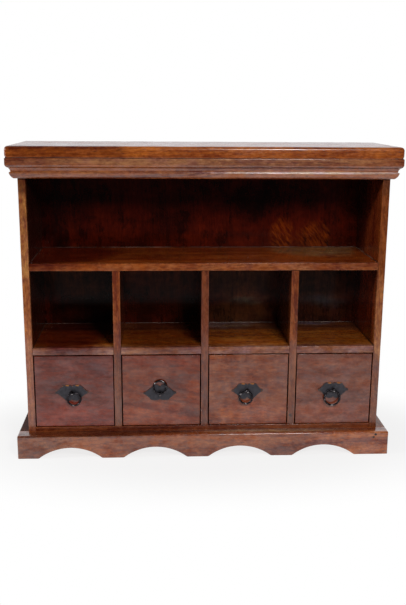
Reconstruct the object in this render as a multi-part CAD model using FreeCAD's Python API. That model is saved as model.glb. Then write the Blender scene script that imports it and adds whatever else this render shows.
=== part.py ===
import FreeCAD, Part
import math
import os

V = FreeCAD.Vector

# Frame: millimetres, +Z up, +X to the right, the front faces -Y.
# The origin lies on the floor, in the middle of the whole object's width and depth.

# Case boards
CASE_WIDTH = 576.0
CASE_DEPTH = 163.0
SIDE_THICKNESS = 12.0
SHELF_THICKNESS = 12.0
BOTTOM_THICKNESS = 12.0
DIVIDER_THICKNESS = 12.0
BACK_THICKNESS = 8.0

# Clear heights of the rows, from the bottom upwards
BOTTOM_LIP = 6.5
DRAWER_BAY_HEIGHT = 122.5
PIGEONHOLE_HEIGHT = 125.5
UPPER_BAY_HEIGHT = 132.5

# Places across the width: the right divider and the back's seam are off the even spacing
RIGHT_DIVIDER_SHIFT = 2.8
BACK_SEAM_X = -30.0

# Housings, rebates and laps in the case
HOUSING_DEPTH = 4.0
HOUSING_STOP = 10.0
DIVIDER_HOUSING = 3.0
REBATE_DEPTH = 6.0
SEAM_LAP = 6.0
SEAM_GAP = 0.5
JOINT_PLAY = 0.1
EDGE_EASE = 0.8

# Top board and the moulding under it
TOP_THICKNESS = 18.0
TOP_OVERHANG = 16.0
TOP_END_ROUND = 6.0
TOP_FRONT_ROUND = 5.0
TOP_UNDER_ROUND = 2.0
CORNICE_HEIGHT = 31.5
CORNICE_REVEAL = 0.4
CORNICE_QUIRK = 1.0
CORNICE_FOOT = 4.5
BEAD_PROJECTION = 10.5
BEAD_HEIGHT = 10.5
BEAD_BULGE = 1.1
BEAD_ROUND = 1.4
BEAD_LEDGE = 2.0
COVE_PROJECTION = 11.4
COVE_HEIGHT = 6.2
COVE_HOLLOW = 0.7
OVOLO_HEIGHT = 5.0
OVOLO_BULGE = 0.9

# Scalloped plinth
PLINTH_HEIGHT = 39.5
PLINTH_FRONT_THICKNESS = 22.0
PLINTH_SIDE_THICKNESS = 16.0
PLINTH_ROUND = 3.0
ARCH_WIDTH = 103.0
ARCH_HEIGHT = 18.0
ARCH_PITCH = 138.0
ARCH_SHIFT = -11.5
FOOT_ROUND = 5.0
SIDE_FOOT_GAP = 21.0

# Wall fixing: rail, keyhole plates and their screws
RAIL_HEIGHT = 30.0
RAIL_THICKNESS = 14.0
HANGER_INSET = 88.0
HANGER_WIDTH = 44.0
HANGER_HEIGHT = 24.0
HANGER_THICKNESS = 2.0
HANGER_PLAY = 0.15
KEYHOLE_RADIUS = 4.5
KEYHOLE_SLOT_WIDTH = 4.6
KEYHOLE_RISE = 8.0
KEYHOLE_DROP = 4.0
POCKET_MARGIN = 2.0
HANGER_SCREW_INSET = 6.0
SCREW_RADIUS = 1.5
SCREW_HEAD_RADIUS = 3.0
SCREW_BITE = 8.0

# Nails
NAIL_RADIUS = 0.9
NAIL_HEAD_RADIUS = 1.7
NAIL_HEAD_THICKNESS = 0.8
NAIL_BITE = 15.0
FASTENER_FIT = 0.03
FRONT_NAIL_DROP = 5.0
FRONT_NAIL_STEP = 4.4
FRONT_NAIL_STAGGER = 3.0
SIDE_NAIL_INSET = 14.0
BACK_NAILS_PER_ROW = 6
BACK_NAIL_INSET = 30.0

# Drawer boxes
FRONT_SIDE_GAP = 1.2
FRONT_TOP_GAP = 1.4
FRONT_BOTTOM_GAP = 0.8
FRONT_SETBACK = 0.5
FRONT_THICKNESS = 14.0
FRONT_LAP = 8.0
DRAWER_SIDE_THICKNESS = 8.0
DRAWER_SIDE_INSET = 0.4
DRAWER_SIDE_DROP = 8.0
DRAWER_END_GAP = 4.5
DRAWER_BACK_THICKNESS = 8.0
DRAWER_BOTTOM_THICKNESS = 4.0
DRAWER_BOTTOM_RISE = 7.0
GROOVE_DEPTH = 3.5
RUNNING_GAP = 0.3
BRAD_RADIUS = 0.7
BRAD_HEAD_RADIUS = 1.3
BRAD_BITE = 10.0
BRAD_INSET = 22.0

# Drawer pulls; the tuples run from the left drawer to the right one
PULL_OFFSETS = (-3.9, -2.3, -1.6, -0.5)
PULL_DROP = 2.5
PLATE_WIDTHS = (54.0, 54.0, 51.5, 50.0)
PLATE_RISE = 11.6
PLATE_FALL = 14.0
PLATE_FLAT = 29.0
PLATE_FOOT = 20.0
PLATE_TOP_NOTCH = 1.2
PLATE_FOOT_NOTCH = 2.2
PLATE_LOBE = 0.8
PLATE_HOLLOW = 0.3
PLATE_EAR_RISE = 1.4
PLATE_EAR_RADIUS = 2.2
PLATE_EAR_NECK = 1.5
PLATE_THICKNESS = 1.2
TACK_RADIUS = 0.6
TACK_HEAD_RADIUS = 1.7
TACK_HEAD_HEIGHT = 1.0
TACK_LENGTH = 8.0
PIN_RISE = 1.5
PIN_RADIUS = 1.5
PIN_PLAY = 0.15
PIN_TURNS = (17.0, 0.0, -13.0, -8.0)
PIN_LEG_LENGTH = 11.0
PIN_LEG_THICKNESS = 1.2
EYE_BORE_RADIUS = 2.5
EYE_WALL = 1.2
EYE_WIDTH = 3.2
RING_WIRE_RADIUS = 1.65
RING_DIAMETERS = (24.5, 24.5, 24.5, 28.5)
RING_UP = (False, True, False, False)
RING_SEAT_GAP = 0.4
drawer_count = len(PULL_OFFSETS)

TOLERANCE = 0.01

# Levels above the floor
z_bottom_top = PLINTH_HEIGHT + BOTTOM_LIP
z_bottom_under = z_bottom_top - BOTTOM_THICKNESS
z_lower_under = z_bottom_top + DRAWER_BAY_HEIGHT
z_lower_top = z_lower_under + SHELF_THICKNESS
z_upper_under = z_lower_top + PIGEONHOLE_HEIGHT
z_upper_top = z_upper_under + SHELF_THICKNESS
z_cornice = z_upper_top + UPPER_BAY_HEIGHT
z_top_under = z_cornice + CORNICE_HEIGHT
z_top = z_top_under + TOP_THICKNESS
z_rail = z_top_under - RAIL_HEIGHT / 2

# Planes from the front to the wall
overall_depth = CASE_DEPTH + max(PLINTH_FRONT_THICKNESS, TOP_OVERHANG)
y_back = overall_depth / 2
y_front = y_back - CASE_DEPTH
y_back_inner = y_back - BACK_THICKNESS
y_cross_lap = (y_front + y_back_inner) / 2

# Half widths and the dividers' middles
half_case = CASE_WIDTH / 2
half_inner = half_case - SIDE_THICKNESS
half_top = half_case + TOP_OVERHANG
half_plinth = half_case + PLINTH_SIDE_THICKNESS
hanger_x = half_case - HANGER_INSET
bay_width = (2 * half_inner - (drawer_count - 1) * DIVIDER_THICKNESS) / drawer_count
divider_step = bay_width + DIVIDER_THICKNESS
divider_x = [
    -half_inner + (k + 1) * divider_step - DIVIDER_THICKNESS / 2 for k in range(drawer_count - 1)
]
divider_x[-1] += RIGHT_DIVIDER_SHIFT
bay_left = [-half_inner] + [x + DIVIDER_THICKNESS / 2 for x in divider_x]
bay_right = [x - DIVIDER_THICKNESS / 2 for x in divider_x] + [half_inner]

# Heights and planes that all drawers share
y_drawer = y_front + FRONT_SETBACK
y_drawer_end = y_back_inner - DRAWER_END_GAP
y_front_inside = y_drawer + FRONT_THICKNESS
z_drawer = z_bottom_top + RUNNING_GAP
z_front_low = z_bottom_top + FRONT_BOTTOM_GAP
z_front_high = z_lower_under - FRONT_TOP_GAP
z_side_high = z_front_high - DRAWER_SIDE_DROP
z_panel = z_drawer + DRAWER_BOTTOM_RISE
z_panel_top = z_panel + DRAWER_BOTTOM_THICKNESS
z_plate = (z_front_low + z_front_high) / 2 - PULL_DROP
pull_way = [-1 if up else 1 for up in RING_UP]
z_ears = [z_plate + way * PLATE_EAR_RISE for way in pull_way]
z_pins = [z_plate + way * PIN_RISE for way in pull_way]
ear_reach = [width / 2 - PLATE_EAR_RADIUS for width in PLATE_WIDTHS]
y_plate = y_drawer - PLATE_THICKNESS
eye_radius = EYE_BORE_RADIUS + EYE_WALL
y_pin = y_plate - eye_radius
ring_drop = EYE_BORE_RADIUS - RING_WIRE_RADIUS - RING_SEAT_GAP


def block(x_a, x_b, y_a, y_b, z_a, z_b):
    """Box between two corners, given in any order."""
    low = V(min(x_a, x_b), min(y_a, y_b), min(z_a, z_b))
    size = V(abs(x_b - x_a), abs(y_b - y_a), abs(z_b - z_a))
    return Part.makeBox(size.x, size.y, size.z, low)


def rounded(shape, radius, pick):
    """Round every edge whose middle satisfies pick."""
    edges = [edge for edge in shape.Edges if pick(edge.CenterOfMass)]
    return shape.makeFillet(radius, edges)


def near(a, b):
    return abs(a - b) < TOLERANCE


def without(shape, cutters):
    """Cut a list of solids out of a shape."""
    return shape.cut(Part.makeCompound(cutters))


def arc_middle(start, end, bulge):
    """Middle of an arc from start to end; a positive bulge swells to the left of the straight run."""
    chord = end[0] - start[0], end[1] - start[1]
    length = math.hypot(*chord)
    middle = [(start[i] + end[i]) / 2 for i in range(2)]
    return middle[0] - chord[1] / length * bulge, middle[1] + chord[0] / length * bulge


def outline(points, place):
    """Closed face through (u, v) points; a third value on a point bulges the run that follows it."""
    edges = []
    for index, point in enumerate(points):
        following = points[(index + 1) % len(points)]
        start = place(point[0], point[1])
        end = place(following[0], following[1])
        if len(point) == 3:
            middle = place(*arc_middle(point, following, point[2]))
            edges.append(Part.Arc(start, middle, end).toShape())
        else:
            edges.append(Part.LineSegment(start, end).toShape())
    return Part.Face(Part.Wire(edges))


def pegged(head_radius, head_length, shank_radius, length, place, direction, fit=0.0):
    """Headed fastener, or with a fit the hole for it; place is the middle of the head's outer face."""
    head = Part.makeCylinder(head_radius + fit, head_length + fit, place, direction)
    shank = Part.makeCylinder(shank_radius + fit, length + fit, place, direction)
    return head.fuse(shank).removeSplitter()


def nail(place, direction, wood, fit=0.0):
    """Case nail through the given thickness of wood."""
    length = wood + NAIL_BITE
    return pegged(NAIL_HEAD_RADIUS, NAIL_HEAD_THICKNESS, NAIL_RADIUS, length, place, direction, fit)


def brad(place, direction, wood, fit=0.0):
    """Drawer brad through the given thickness of wood."""
    length = wood + BRAD_BITE
    return pegged(BRAD_HEAD_RADIUS, NAIL_HEAD_THICKNESS, BRAD_RADIUS, length, place, direction, fit)


def plinth_nail_places():
    """Front nails at the right end and two nails in each side board: place, direction, wood."""
    places = []
    for step in range(2):
        x = half_case - SIDE_THICKNESS / 2 - step * FRONT_NAIL_STAGGER
        z = PLINTH_HEIGHT - FRONT_NAIL_DROP - step * FRONT_NAIL_STEP
        places.append((V(x, y_front - PLINTH_FRONT_THICKNESS, z), V(0, 1, 0), PLINTH_FRONT_THICKNESS))
    for s in (-1, 1):
        for y in (y_front + SIDE_NAIL_INSET, y_back - SIDE_NAIL_INSET):
            place = V(s * half_plinth, y, (SIDE_FOOT_GAP + PLINTH_HEIGHT) / 2)
            places.append((place, V(-s, 0, 0), PLINTH_SIDE_THICKNESS))
    return places


def plinth_nails(fit=0.0):
    """Nails of the plinth; they end inside the case's sides."""
    return [
        nail(place, direction, wood + (0 if direction.y else SIDE_THICKNESS / 2 - NAIL_BITE), fit)
        for place, direction, wood in plinth_nail_places()
    ]


def back_nails(fit=0.0):
    """Rows of nails from the back planks into the bottom board and the shelves."""
    levels = (
        (z_bottom_under + z_bottom_top) / 2,
        (z_lower_under + z_lower_top) / 2,
        (z_upper_under + z_upper_top) / 2,
    )
    reach = half_inner - BACK_NAIL_INSET
    step = 2 * reach / (BACK_NAILS_PER_ROW - 1)
    return [
        nail(V(-reach + k * step, y_back, z), V(0, -1, 0), BACK_THICKNESS, fit)
        for z in levels
        for k in range(BACK_NAILS_PER_ROW)
    ]


def hanger_screws(fit=0.0):
    """Countersunk screws at both ends of each hanger plate, into the rail."""
    screws = []
    half_span = HANGER_WIDTH / 2 - HANGER_SCREW_INSET
    cone = SCREW_HEAD_RADIUS - SCREW_RADIUS
    for s in (-1, 1):
        for side_of_plate in (-1, 1):
            place = V(s * hanger_x + side_of_plate * half_span, y_back, z_rail)
            head = Part.makeCone(
                SCREW_HEAD_RADIUS + fit, SCREW_RADIUS + fit, cone, place, V(0, -1, 0)
            )
            length = BACK_THICKNESS + SCREW_BITE + fit
            shank = Part.makeCylinder(SCREW_RADIUS + fit, length, place, V(0, -1, 0))
            screws.append(head.fuse(shank).removeSplitter())
    return screws


def hanger_plate(s):
    """Keyhole plate let in flush with the back."""
    x = s * hanger_x
    half_width = HANGER_WIDTH / 2
    half_height = HANGER_HEIGHT / 2
    plate = block(
        x - half_width, x + half_width, y_back - HANGER_THICKNESS, y_back,
        z_rail - half_height, z_rail + half_height,
    )
    z_hole = z_rail - KEYHOLE_DROP
    depth = HANGER_THICKNESS
    hole = Part.makeCylinder(KEYHOLE_RADIUS, depth, V(x, y_back, z_hole), V(0, -1, 0))
    half_slot = KEYHOLE_SLOT_WIDTH / 2
    slot = block(
        x - half_slot, x + half_slot, y_back - depth, y_back, z_hole, z_hole + KEYHOLE_RISE
    )
    slot_end = Part.makeCylinder(half_slot, depth, V(x, y_back, z_hole + KEYHOLE_RISE), V(0, -1, 0))
    keyhole = hole.fuse([slot, slot_end]).removeSplitter()
    return without(plate, [keyhole] + hanger_screws(FASTENER_FIT))


def hanger_recess(s):
    """Shallow recess for a hanger plate and the deeper pocket for the wall screw's head."""
    x = s * hanger_x
    half_width = HANGER_WIDTH / 2 + HANGER_PLAY
    half_height = HANGER_HEIGHT / 2 + HANGER_PLAY
    bed = block(
        x - half_width, x + half_width, y_back - HANGER_THICKNESS, y_back,
        z_rail - half_height, z_rail + half_height,
    )
    half_pocket = KEYHOLE_RADIUS + POCKET_MARGIN
    z_hole = z_rail - KEYHOLE_DROP
    pocket = block(
        x - half_pocket, x + half_pocket, y_back_inner, y_back,
        z_hole - half_pocket, z_hole + KEYHOLE_RISE + half_pocket,
    )
    return bed.fuse(pocket)


def case_side(s):
    """Case side with stopped housings for the boards and a rebate for the back; the plinth carries it."""
    board = block(s * half_inner, s * half_case, y_front, y_back, SIDE_FOOT_GAP, z_top_under)
    z_middle = (SIDE_FOOT_GAP + z_top_under) / 2
    board = rounded(board, EDGE_EASE, lambda c: near(c.y, y_front) and near(c.z, z_middle))
    cutters = [
        block(
            s * half_inner, s * (half_inner + HOUSING_DEPTH), y_front + HOUSING_STOP, y_back,
            under, top,
        )
        for under, top in (
            (z_bottom_under, z_bottom_top),
            (z_lower_under, z_lower_top),
            (z_upper_under, z_upper_top),
        )
    ]
    rebate = block(
        s * half_inner, s * (half_inner + REBATE_DEPTH), y_back_inner, y_back,
        SIDE_FOOT_GAP, z_top_under,
    )
    return without(board, cutters + [rebate] + plinth_nails(FASTENER_FIT))


def spanning_board(under, top):
    """Board between the sides, its ends in their housings and its front corners notched."""
    reach = half_inner + HOUSING_DEPTH - JOINT_PLAY
    board = block(-reach, reach, y_front, y_back_inner, under, top)
    board = rounded(board, EDGE_EASE, lambda c: near(c.y, y_front) and near(c.x, 0))
    notches = [
        block(
            s * half_inner, s * reach, y_front, y_front + HOUSING_STOP + JOINT_PLAY, under, top
        )
        for s in (-1, 1)
    ]
    return without(board, notches + back_nails(FASTENER_FIT))


def divider_grooves(z_a, z_b):
    """Stopped grooves for the dividers' ends."""
    half = DIVIDER_THICKNESS / 2
    return [
        block(x - half, x + half, y_front + HOUSING_STOP, y_back_inner, z_a, z_b) for x in divider_x
    ]


def bottom_board():
    depth = DIVIDER_HOUSING + JOINT_PLAY
    board = spanning_board(z_bottom_under, z_bottom_top)
    return without(board, divider_grooves(z_bottom_top - depth, z_bottom_top))


def upper_shelf():
    depth = DIVIDER_HOUSING + JOINT_PLAY
    board = spanning_board(z_upper_under, z_upper_top)
    return without(board, divider_grooves(z_upper_under, z_upper_under + depth))


def lower_shelf():
    """Shelf halved over the dividers: its slots are open at the front."""
    half = DIVIDER_THICKNESS / 2
    slots = [
        block(x - half, x + half, y_front, y_cross_lap, z_lower_under, z_lower_top)
        for x in divider_x
    ]
    return without(spanning_board(z_lower_under, z_lower_top), slots)


def divider(x):
    """Upright divider halved over the lower shelf: its slot is open at the back."""
    half = DIVIDER_THICKNESS / 2
    z_foot = z_bottom_top - DIVIDER_HOUSING
    z_head = z_upper_under + DIVIDER_HOUSING
    board = block(x - half, x + half, y_front, y_back_inner, z_foot, z_head)
    board = rounded(
        board, EDGE_EASE, lambda c: near(c.y, y_front) and near(c.z, (z_foot + z_head) / 2)
    )
    y_notch = y_front + HOUSING_STOP + JOINT_PLAY
    cutters = [
        block(x - half, x + half, y_front, y_notch, z_foot, z_bottom_top),
        block(x - half, x + half, y_front, y_notch, z_upper_under, z_head),
        block(x - half, x + half, y_cross_lap, y_back_inner, z_lower_under, z_lower_top),
    ]
    return without(board, cutters)


def back_planks():
    """Two upright planks, half lapped at their seam and let into the sides' rebates."""
    reach = half_inner + REBATE_DEPTH - JOINT_PLAY
    y_middle = (y_back_inner + y_back) / 2
    left_edge = BACK_SEAM_X - SEAM_GAP / 2
    right_edge = BACK_SEAM_X + SEAM_GAP / 2
    left = block(-reach, left_edge, y_back_inner, y_back, z_bottom_under, z_top_under)
    left_lap = block(
        left_edge - SEAM_LAP, left_edge, y_middle, y_back, z_bottom_under, z_top_under
    )
    right = block(right_edge - SEAM_LAP, reach, y_back_inner, y_back, z_bottom_under, z_top_under)
    right_lap = block(
        right_edge - SEAM_LAP, right_edge, y_back_inner, y_middle, z_bottom_under, z_top_under
    )
    fixings = back_nails(FASTENER_FIT) + hanger_screws(FASTENER_FIT)
    return (
        without(left, [left_lap, hanger_recess(-1)] + fixings),
        without(right, [right_lap, hanger_recess(1)] + fixings),
    )


def hanging_rail():
    rail = block(
        -half_inner, half_inner, y_back_inner - RAIL_THICKNESS, y_back_inner,
        z_top_under - RAIL_HEIGHT, z_top_under,
    )
    return without(rail, hanger_screws(FASTENER_FIT))


def top_board():
    """Top with well rounded ends, and a front rounded more above than below."""
    y_edge = y_front - TOP_OVERHANG
    board = block(-half_top, half_top, y_edge, y_back, z_top_under, z_top)
    board = rounded(
        board, TOP_END_ROUND, lambda c: near(c.z, z_top) and near(abs(c.x), half_top)
    )
    board = rounded(
        board, TOP_UNDER_ROUND, lambda c: near(c.y, y_edge) and near(c.z, z_top_under)
    )
    z_clear = z_top_under + 2 * TOP_UNDER_ROUND
    return rounded(board, TOP_FRONT_ROUND, lambda c: near(c.y, y_edge) and c.z > z_clear)


def cornice_points():
    """Section of the moulding as (projection, height, bulge), from its foot outwards and up."""
    upper = TOP_OVERHANG - CORNICE_REVEAL
    quarter_sagitta = 1 - math.cos(math.radians(45))
    bead_top = BEAD_HEIGHT
    cove_top = bead_top + COVE_HEIGHT
    ovolo_top = cove_top + OVOLO_HEIGHT
    return [
        (0, 0),
        (CORNICE_FOOT, 0, -BEAD_BULGE),
        (BEAD_PROJECTION, bead_top - BEAD_ROUND, -quarter_sagitta * BEAD_ROUND),
        (BEAD_PROJECTION - BEAD_ROUND, bead_top),
        (BEAD_PROJECTION - BEAD_LEDGE, bead_top, COVE_HOLLOW),
        (COVE_PROJECTION, cove_top, -OVOLO_BULGE),
        (upper, ovolo_top),
        (upper, CORNICE_HEIGHT - CORNICE_QUIRK, -quarter_sagitta * CORNICE_QUIRK),
        (upper - CORNICE_QUIRK, CORNICE_HEIGHT),
        (0, CORNICE_HEIGHT),
    ]


def plan_prism(corners):
    """Upright prism over a plan, as tall as the moulding."""
    face = Part.Face(Part.makePolygon([V(x, y, z_cornice) for x, y in corners + corners[:1]]))
    return face.extrude(V(0, 0, CORNICE_HEIGHT))


def cornice_front():
    section = outline(cornice_points(), lambda u, v: V(-half_top, y_front - u, z_cornice + v))
    strip = section.extrude(V(2 * half_top, 0, 0))
    y_edge = y_front - TOP_OVERHANG
    plan = [(-half_case, y_front), (-half_top, y_edge), (half_top, y_edge), (half_case, y_front)]
    return strip.common(plan_prism(plan))


def cornice_return(s):
    """Moulding along one side, mitred to the front length."""
    y_edge = y_front - TOP_OVERHANG
    section = outline(
        cornice_points(), lambda u, v: V(s * (half_case + u), y_edge, z_cornice + v)
    )
    strip = section.extrude(V(0, y_back - y_edge, 0))
    plan = [
        (s * half_case, y_front), (s * half_top, y_edge), (s * half_top, y_back),
        (s * half_case, y_back),
    ]
    return strip.common(plan_prism(plan))


def arch(place, direction):
    """Segment of a circle under the floor line, run through along direction; place maps (u, z)."""
    half = ARCH_WIDTH / 2
    face = outline([(-half, 0, ARCH_HEIGHT), (half, 0)], place)
    return face.extrude(direction)


def plinth_front():
    """Front board with a row of arches, rounded along its top and ends."""
    y_face = y_front - PLINTH_FRONT_THICKNESS
    board = block(-half_plinth, half_plinth, y_face, y_front, 0, PLINTH_HEIGHT)
    board = rounded(
        board,
        PLINTH_ROUND,
        lambda c: (near(c.z, PLINTH_HEIGHT) and not near(c.y, y_front))
        or (near(c.y, y_face) and near(abs(c.x), half_plinth)),
    )
    middles = [ARCH_SHIFT + (k - (drawer_count - 1) / 2) * ARCH_PITCH for k in range(drawer_count)]
    arches = [
        arch(lambda u, z, x=x: V(x + u, y_face, z), V(0, PLINTH_FRONT_THICKNESS, 0))
        for x in middles
    ]
    board = without(board, arches)
    feet = [x + s * ARCH_WIDTH / 2 for x in middles for s in (-1, 1)]
    board = rounded(
        board, FOOT_ROUND, lambda c: near(c.z, 0) and any(near(c.x, foot) for foot in feet)
    )
    return without(board, plinth_nails(FASTENER_FIT))


def plinth_return(s):
    """Side board of the plinth, with one arch."""
    board = block(s * half_case, s * half_plinth, y_front, y_back, 0, PLINTH_HEIGHT)
    board = rounded(
        board, PLINTH_ROUND, lambda c: near(c.z, PLINTH_HEIGHT) and near(abs(c.x), half_plinth)
    )
    y_middle = (y_front + y_back) / 2
    gap = arch(
        lambda u, z: V(s * half_case, y_middle + u, z), V(s * PLINTH_SIDE_THICKNESS, 0, 0)
    )
    board = board.cut(gap)
    feet = [y_middle - ARCH_WIDTH / 2, y_middle + ARCH_WIDTH / 2]
    board = rounded(
        board, FOOT_ROUND, lambda c: near(c.z, 0) and any(near(c.y, foot) for foot in feet)
    )
    return without(board, plinth_nails(FASTENER_FIT))


def pull_plate(x, index):
    """Iron plate, wide above and narrow below, with a notch at both ends and a round ear at each side."""
    half_flat = PLATE_FLAT / 2
    half_foot = PLATE_FOOT / 2
    reach = ear_reach[index]
    points = [
        (half_foot, -PLATE_FALL, PLATE_HOLLOW),
        (reach, -PLATE_EAR_NECK),
        (reach, PLATE_EAR_NECK, PLATE_HOLLOW),
        (half_flat, PLATE_RISE, -PLATE_LOBE),
        (PLATE_TOP_NOTCH, PLATE_RISE),
        (0, PLATE_RISE - PLATE_TOP_NOTCH),
        (-PLATE_TOP_NOTCH, PLATE_RISE, -PLATE_LOBE),
        (-half_flat, PLATE_RISE, PLATE_HOLLOW),
        (-reach, PLATE_EAR_NECK),
        (-reach, -PLATE_EAR_NECK, PLATE_HOLLOW),
        (-half_foot, -PLATE_FALL, -PLATE_LOBE),
        (-PLATE_FOOT_NOTCH, -PLATE_FALL),
        (0, PLATE_FOOT_NOTCH - PLATE_FALL),
        (PLATE_FOOT_NOTCH, -PLATE_FALL, -PLATE_LOBE),
    ]
    way = pull_way[index]
    middle = V(x, y_plate, z_ears[index])
    face = outline(points, lambda u, v: middle + V(way * u, 0, way * v))
    sheet = face.extrude(V(0, PLATE_THICKNESS, 0))
    ears = [
        Part.makeCylinder(PLATE_EAR_RADIUS, PLATE_THICKNESS, middle + V(u, 0, 0), V(0, 1, 0))
        for u in (-reach, reach)
    ]
    plate = sheet.fuse(ears).removeSplitter()
    return without(plate, [pin_hole(x, index)] + tacks(x, index, FASTENER_FIT))


def pin_hole(x, index):
    """Hole for the split pin through the plate and the drawer front."""
    radius = PIN_RADIUS + PIN_PLAY
    length = PLATE_THICKNESS + FRONT_THICKNESS
    return Part.makeCylinder(radius, length, V(x, y_plate, z_pins[index]), V(0, 1, 0))


def tacks(x, index, fit=0.0):
    """Dome-headed tacks through the plate's ears."""
    dome_radius = (TACK_HEAD_RADIUS ** 2 + TACK_HEAD_HEIGHT ** 2) / (2 * TACK_HEAD_HEIGHT)
    pieces = []
    for s in (-1, 1):
        place = V(x + s * ear_reach[index], y_plate, z_ears[index])
        ball = Part.makeSphere(dome_radius, place + V(0, dome_radius - TACK_HEAD_HEIGHT, 0))
        room = Part.makeCylinder(TACK_HEAD_RADIUS, TACK_HEAD_HEIGHT, place, V(0, -1, 0))
        shank = Part.makeCylinder(TACK_RADIUS + fit, TACK_LENGTH + fit, place, V(0, 1, 0))
        pieces.append(ball.common(room).fuse(shank).removeSplitter())
    return pieces


def split_pin(x, index):
    """Split pin: a bored eye in front of the plate, a shank through the wood, two legs bent over."""
    z_pin = z_pins[index]
    half_eye = EYE_WIDTH / 2
    eye = Part.makeCylinder(eye_radius, EYE_WIDTH, V(x - half_eye, y_pin, z_pin), V(1, 0, 0))
    bore = Part.makeCylinder(EYE_BORE_RADIUS, EYE_WIDTH, V(x - half_eye, y_pin, z_pin), V(1, 0, 0))
    y_start = y_pin + EYE_BORE_RADIUS
    shank = Part.makeCylinder(
        PIN_RADIUS, y_front_inside + PIN_LEG_THICKNESS - y_start, V(x, y_start, z_pin), V(0, 1, 0)
    )
    legs = block(
        x - PIN_LEG_LENGTH, x + PIN_LEG_LENGTH, y_front_inside, y_front_inside + PIN_LEG_THICKNESS,
        z_pin - PIN_RADIUS, z_pin + PIN_RADIUS,
    )
    pin = eye.fuse([shank, legs]).cut(bore).removeSplitter()
    pin.rotate(V(x, y_pin, z_pin), V(0, -1, 0), PIN_TURNS[index])
    return pin


def ring_lean(radius):
    """Angle in degrees by which a raised ring tips back until it meets the front or the plate's edge."""
    clear = RING_WIRE_RADIUS + RING_SEAT_GAP
    far = 2 * radius + ring_drop
    at_front = math.asin((y_drawer - y_pin - clear) / far)
    plate_rise = PLATE_FALL + PLATE_LOBE - PLATE_EAR_RISE + PIN_RISE
    at_plate = math.asin((y_plate - y_pin - clear) / plate_rise)
    return math.degrees(min(at_front, at_plate))


def pull_ring(x, index):
    """Round wire ring in the pin's eye, hanging down or thrown up against the front."""
    z_pin = z_pins[index]
    radius = RING_DIAMETERS[index] / 2 - RING_WIRE_RADIUS
    middle = V(x, y_pin, z_pin - ring_drop - radius)
    ring = Part.makeTorus(radius, RING_WIRE_RADIUS, middle, V(0, 1, 0))
    ring.rotate(V(x, y_pin, z_pin), V(0, -1, 0), PIN_TURNS[index])
    if RING_UP[index]:
        ring.rotate(V(x, y_pin, z_pin), V(-1, 0, 0), 180 + ring_lean(radius))
    return ring


def drawer(index):
    """All pieces of one drawer box with its pull."""
    x_left = bay_left[index] + FRONT_SIDE_GAP
    x_right = bay_right[index] - FRONT_SIDE_GAP
    x_box = {-1: x_left + DRAWER_SIDE_INSET, 1: x_right - DRAWER_SIDE_INSET}
    x_inside = {s: x_box[s] - s * DRAWER_SIDE_THICKNESS for s in (-1, 1)}
    x_pull = (x_left + x_right) / 2 + PULL_OFFSETS[index]
    y_lap = y_front_inside - FRONT_LAP
    y_back_face = y_drawer_end - DRAWER_BACK_THICKNESS

    def brads(fit=0.0):
        pieces = []
        for s in (-1, 1):
            for y in ((y_lap + y_front_inside) / 2, (y_back_face + y_drawer_end) / 2):
                for z in (z_panel_top + BRAD_INSET, z_side_high - BRAD_INSET):
                    place = V(x_box[s], y, z)
                    pieces.append(brad(place, V(-s, 0, 0), DRAWER_SIDE_THICKNESS, fit))
            x_floor = x_inside[s] - s * BRAD_INSET
            place = V(x_floor, (y_back_face + y_drawer_end) / 2, z_panel)
            pieces.append(brad(place, V(0, 0, 1), DRAWER_BOTTOM_THICKNESS, fit))
        return pieces

    def side_board(s):
        board = block(x_box[s], x_inside[s], y_lap, y_drawer_end, z_drawer, z_side_high)
        groove = block(
            x_inside[s], x_inside[s] + s * GROOVE_DEPTH, y_lap, y_drawer_end, z_panel, z_panel_top
        )
        return without(board, [groove] + brads(FASTENER_FIT))

    def front_board():
        board = block(x_left, x_right, y_drawer, y_front_inside, z_front_low, z_front_high)
        board = rounded(board, EDGE_EASE, lambda c: near(c.y, y_drawer))
        laps = [
            block(x_left, x_inside[-1], y_lap, y_front_inside, z_front_low, z_front_high),
            block(x_inside[1], x_right, y_lap, y_front_inside, z_front_low, z_front_high),
        ]
        groove = block(
            x_inside[-1], x_inside[1], y_front_inside - GROOVE_DEPTH, y_front_inside,
            z_panel, z_panel_top,
        )
        holes = [pin_hole(x_pull, index)] + tacks(x_pull, index, FASTENER_FIT) + brads(FASTENER_FIT)
        return without(board, laps + [groove] + holes)

    reach = GROOVE_DEPTH - JOINT_PLAY
    back = block(
        x_inside[-1], x_inside[1], y_back_face, y_drawer_end, z_panel_top, z_side_high
    )
    panel = block(
        x_inside[-1] - reach, x_inside[1] + reach, y_front_inside - reach, y_drawer_end,
        z_panel, z_panel_top,
    )
    name = f"drawer_{index + 1}"
    return {
        f"{name}_front": front_board(),
        f"{name}_left_side": side_board(-1),
        f"{name}_right_side": side_board(1),
        f"{name}_back": without(back, brads(FASTENER_FIT)),
        f"{name}_bottom": without(panel, brads(FASTENER_FIT)),
        f"{name}_plate": pull_plate(x_pull, index),
        f"{name}_pin": split_pin(x_pull, index),
        f"{name}_nails": Part.makeCompound(brads() + tacks(x_pull, index)),
        f"ring_{index + 1}": pull_ring(x_pull, index),
    }


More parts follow.
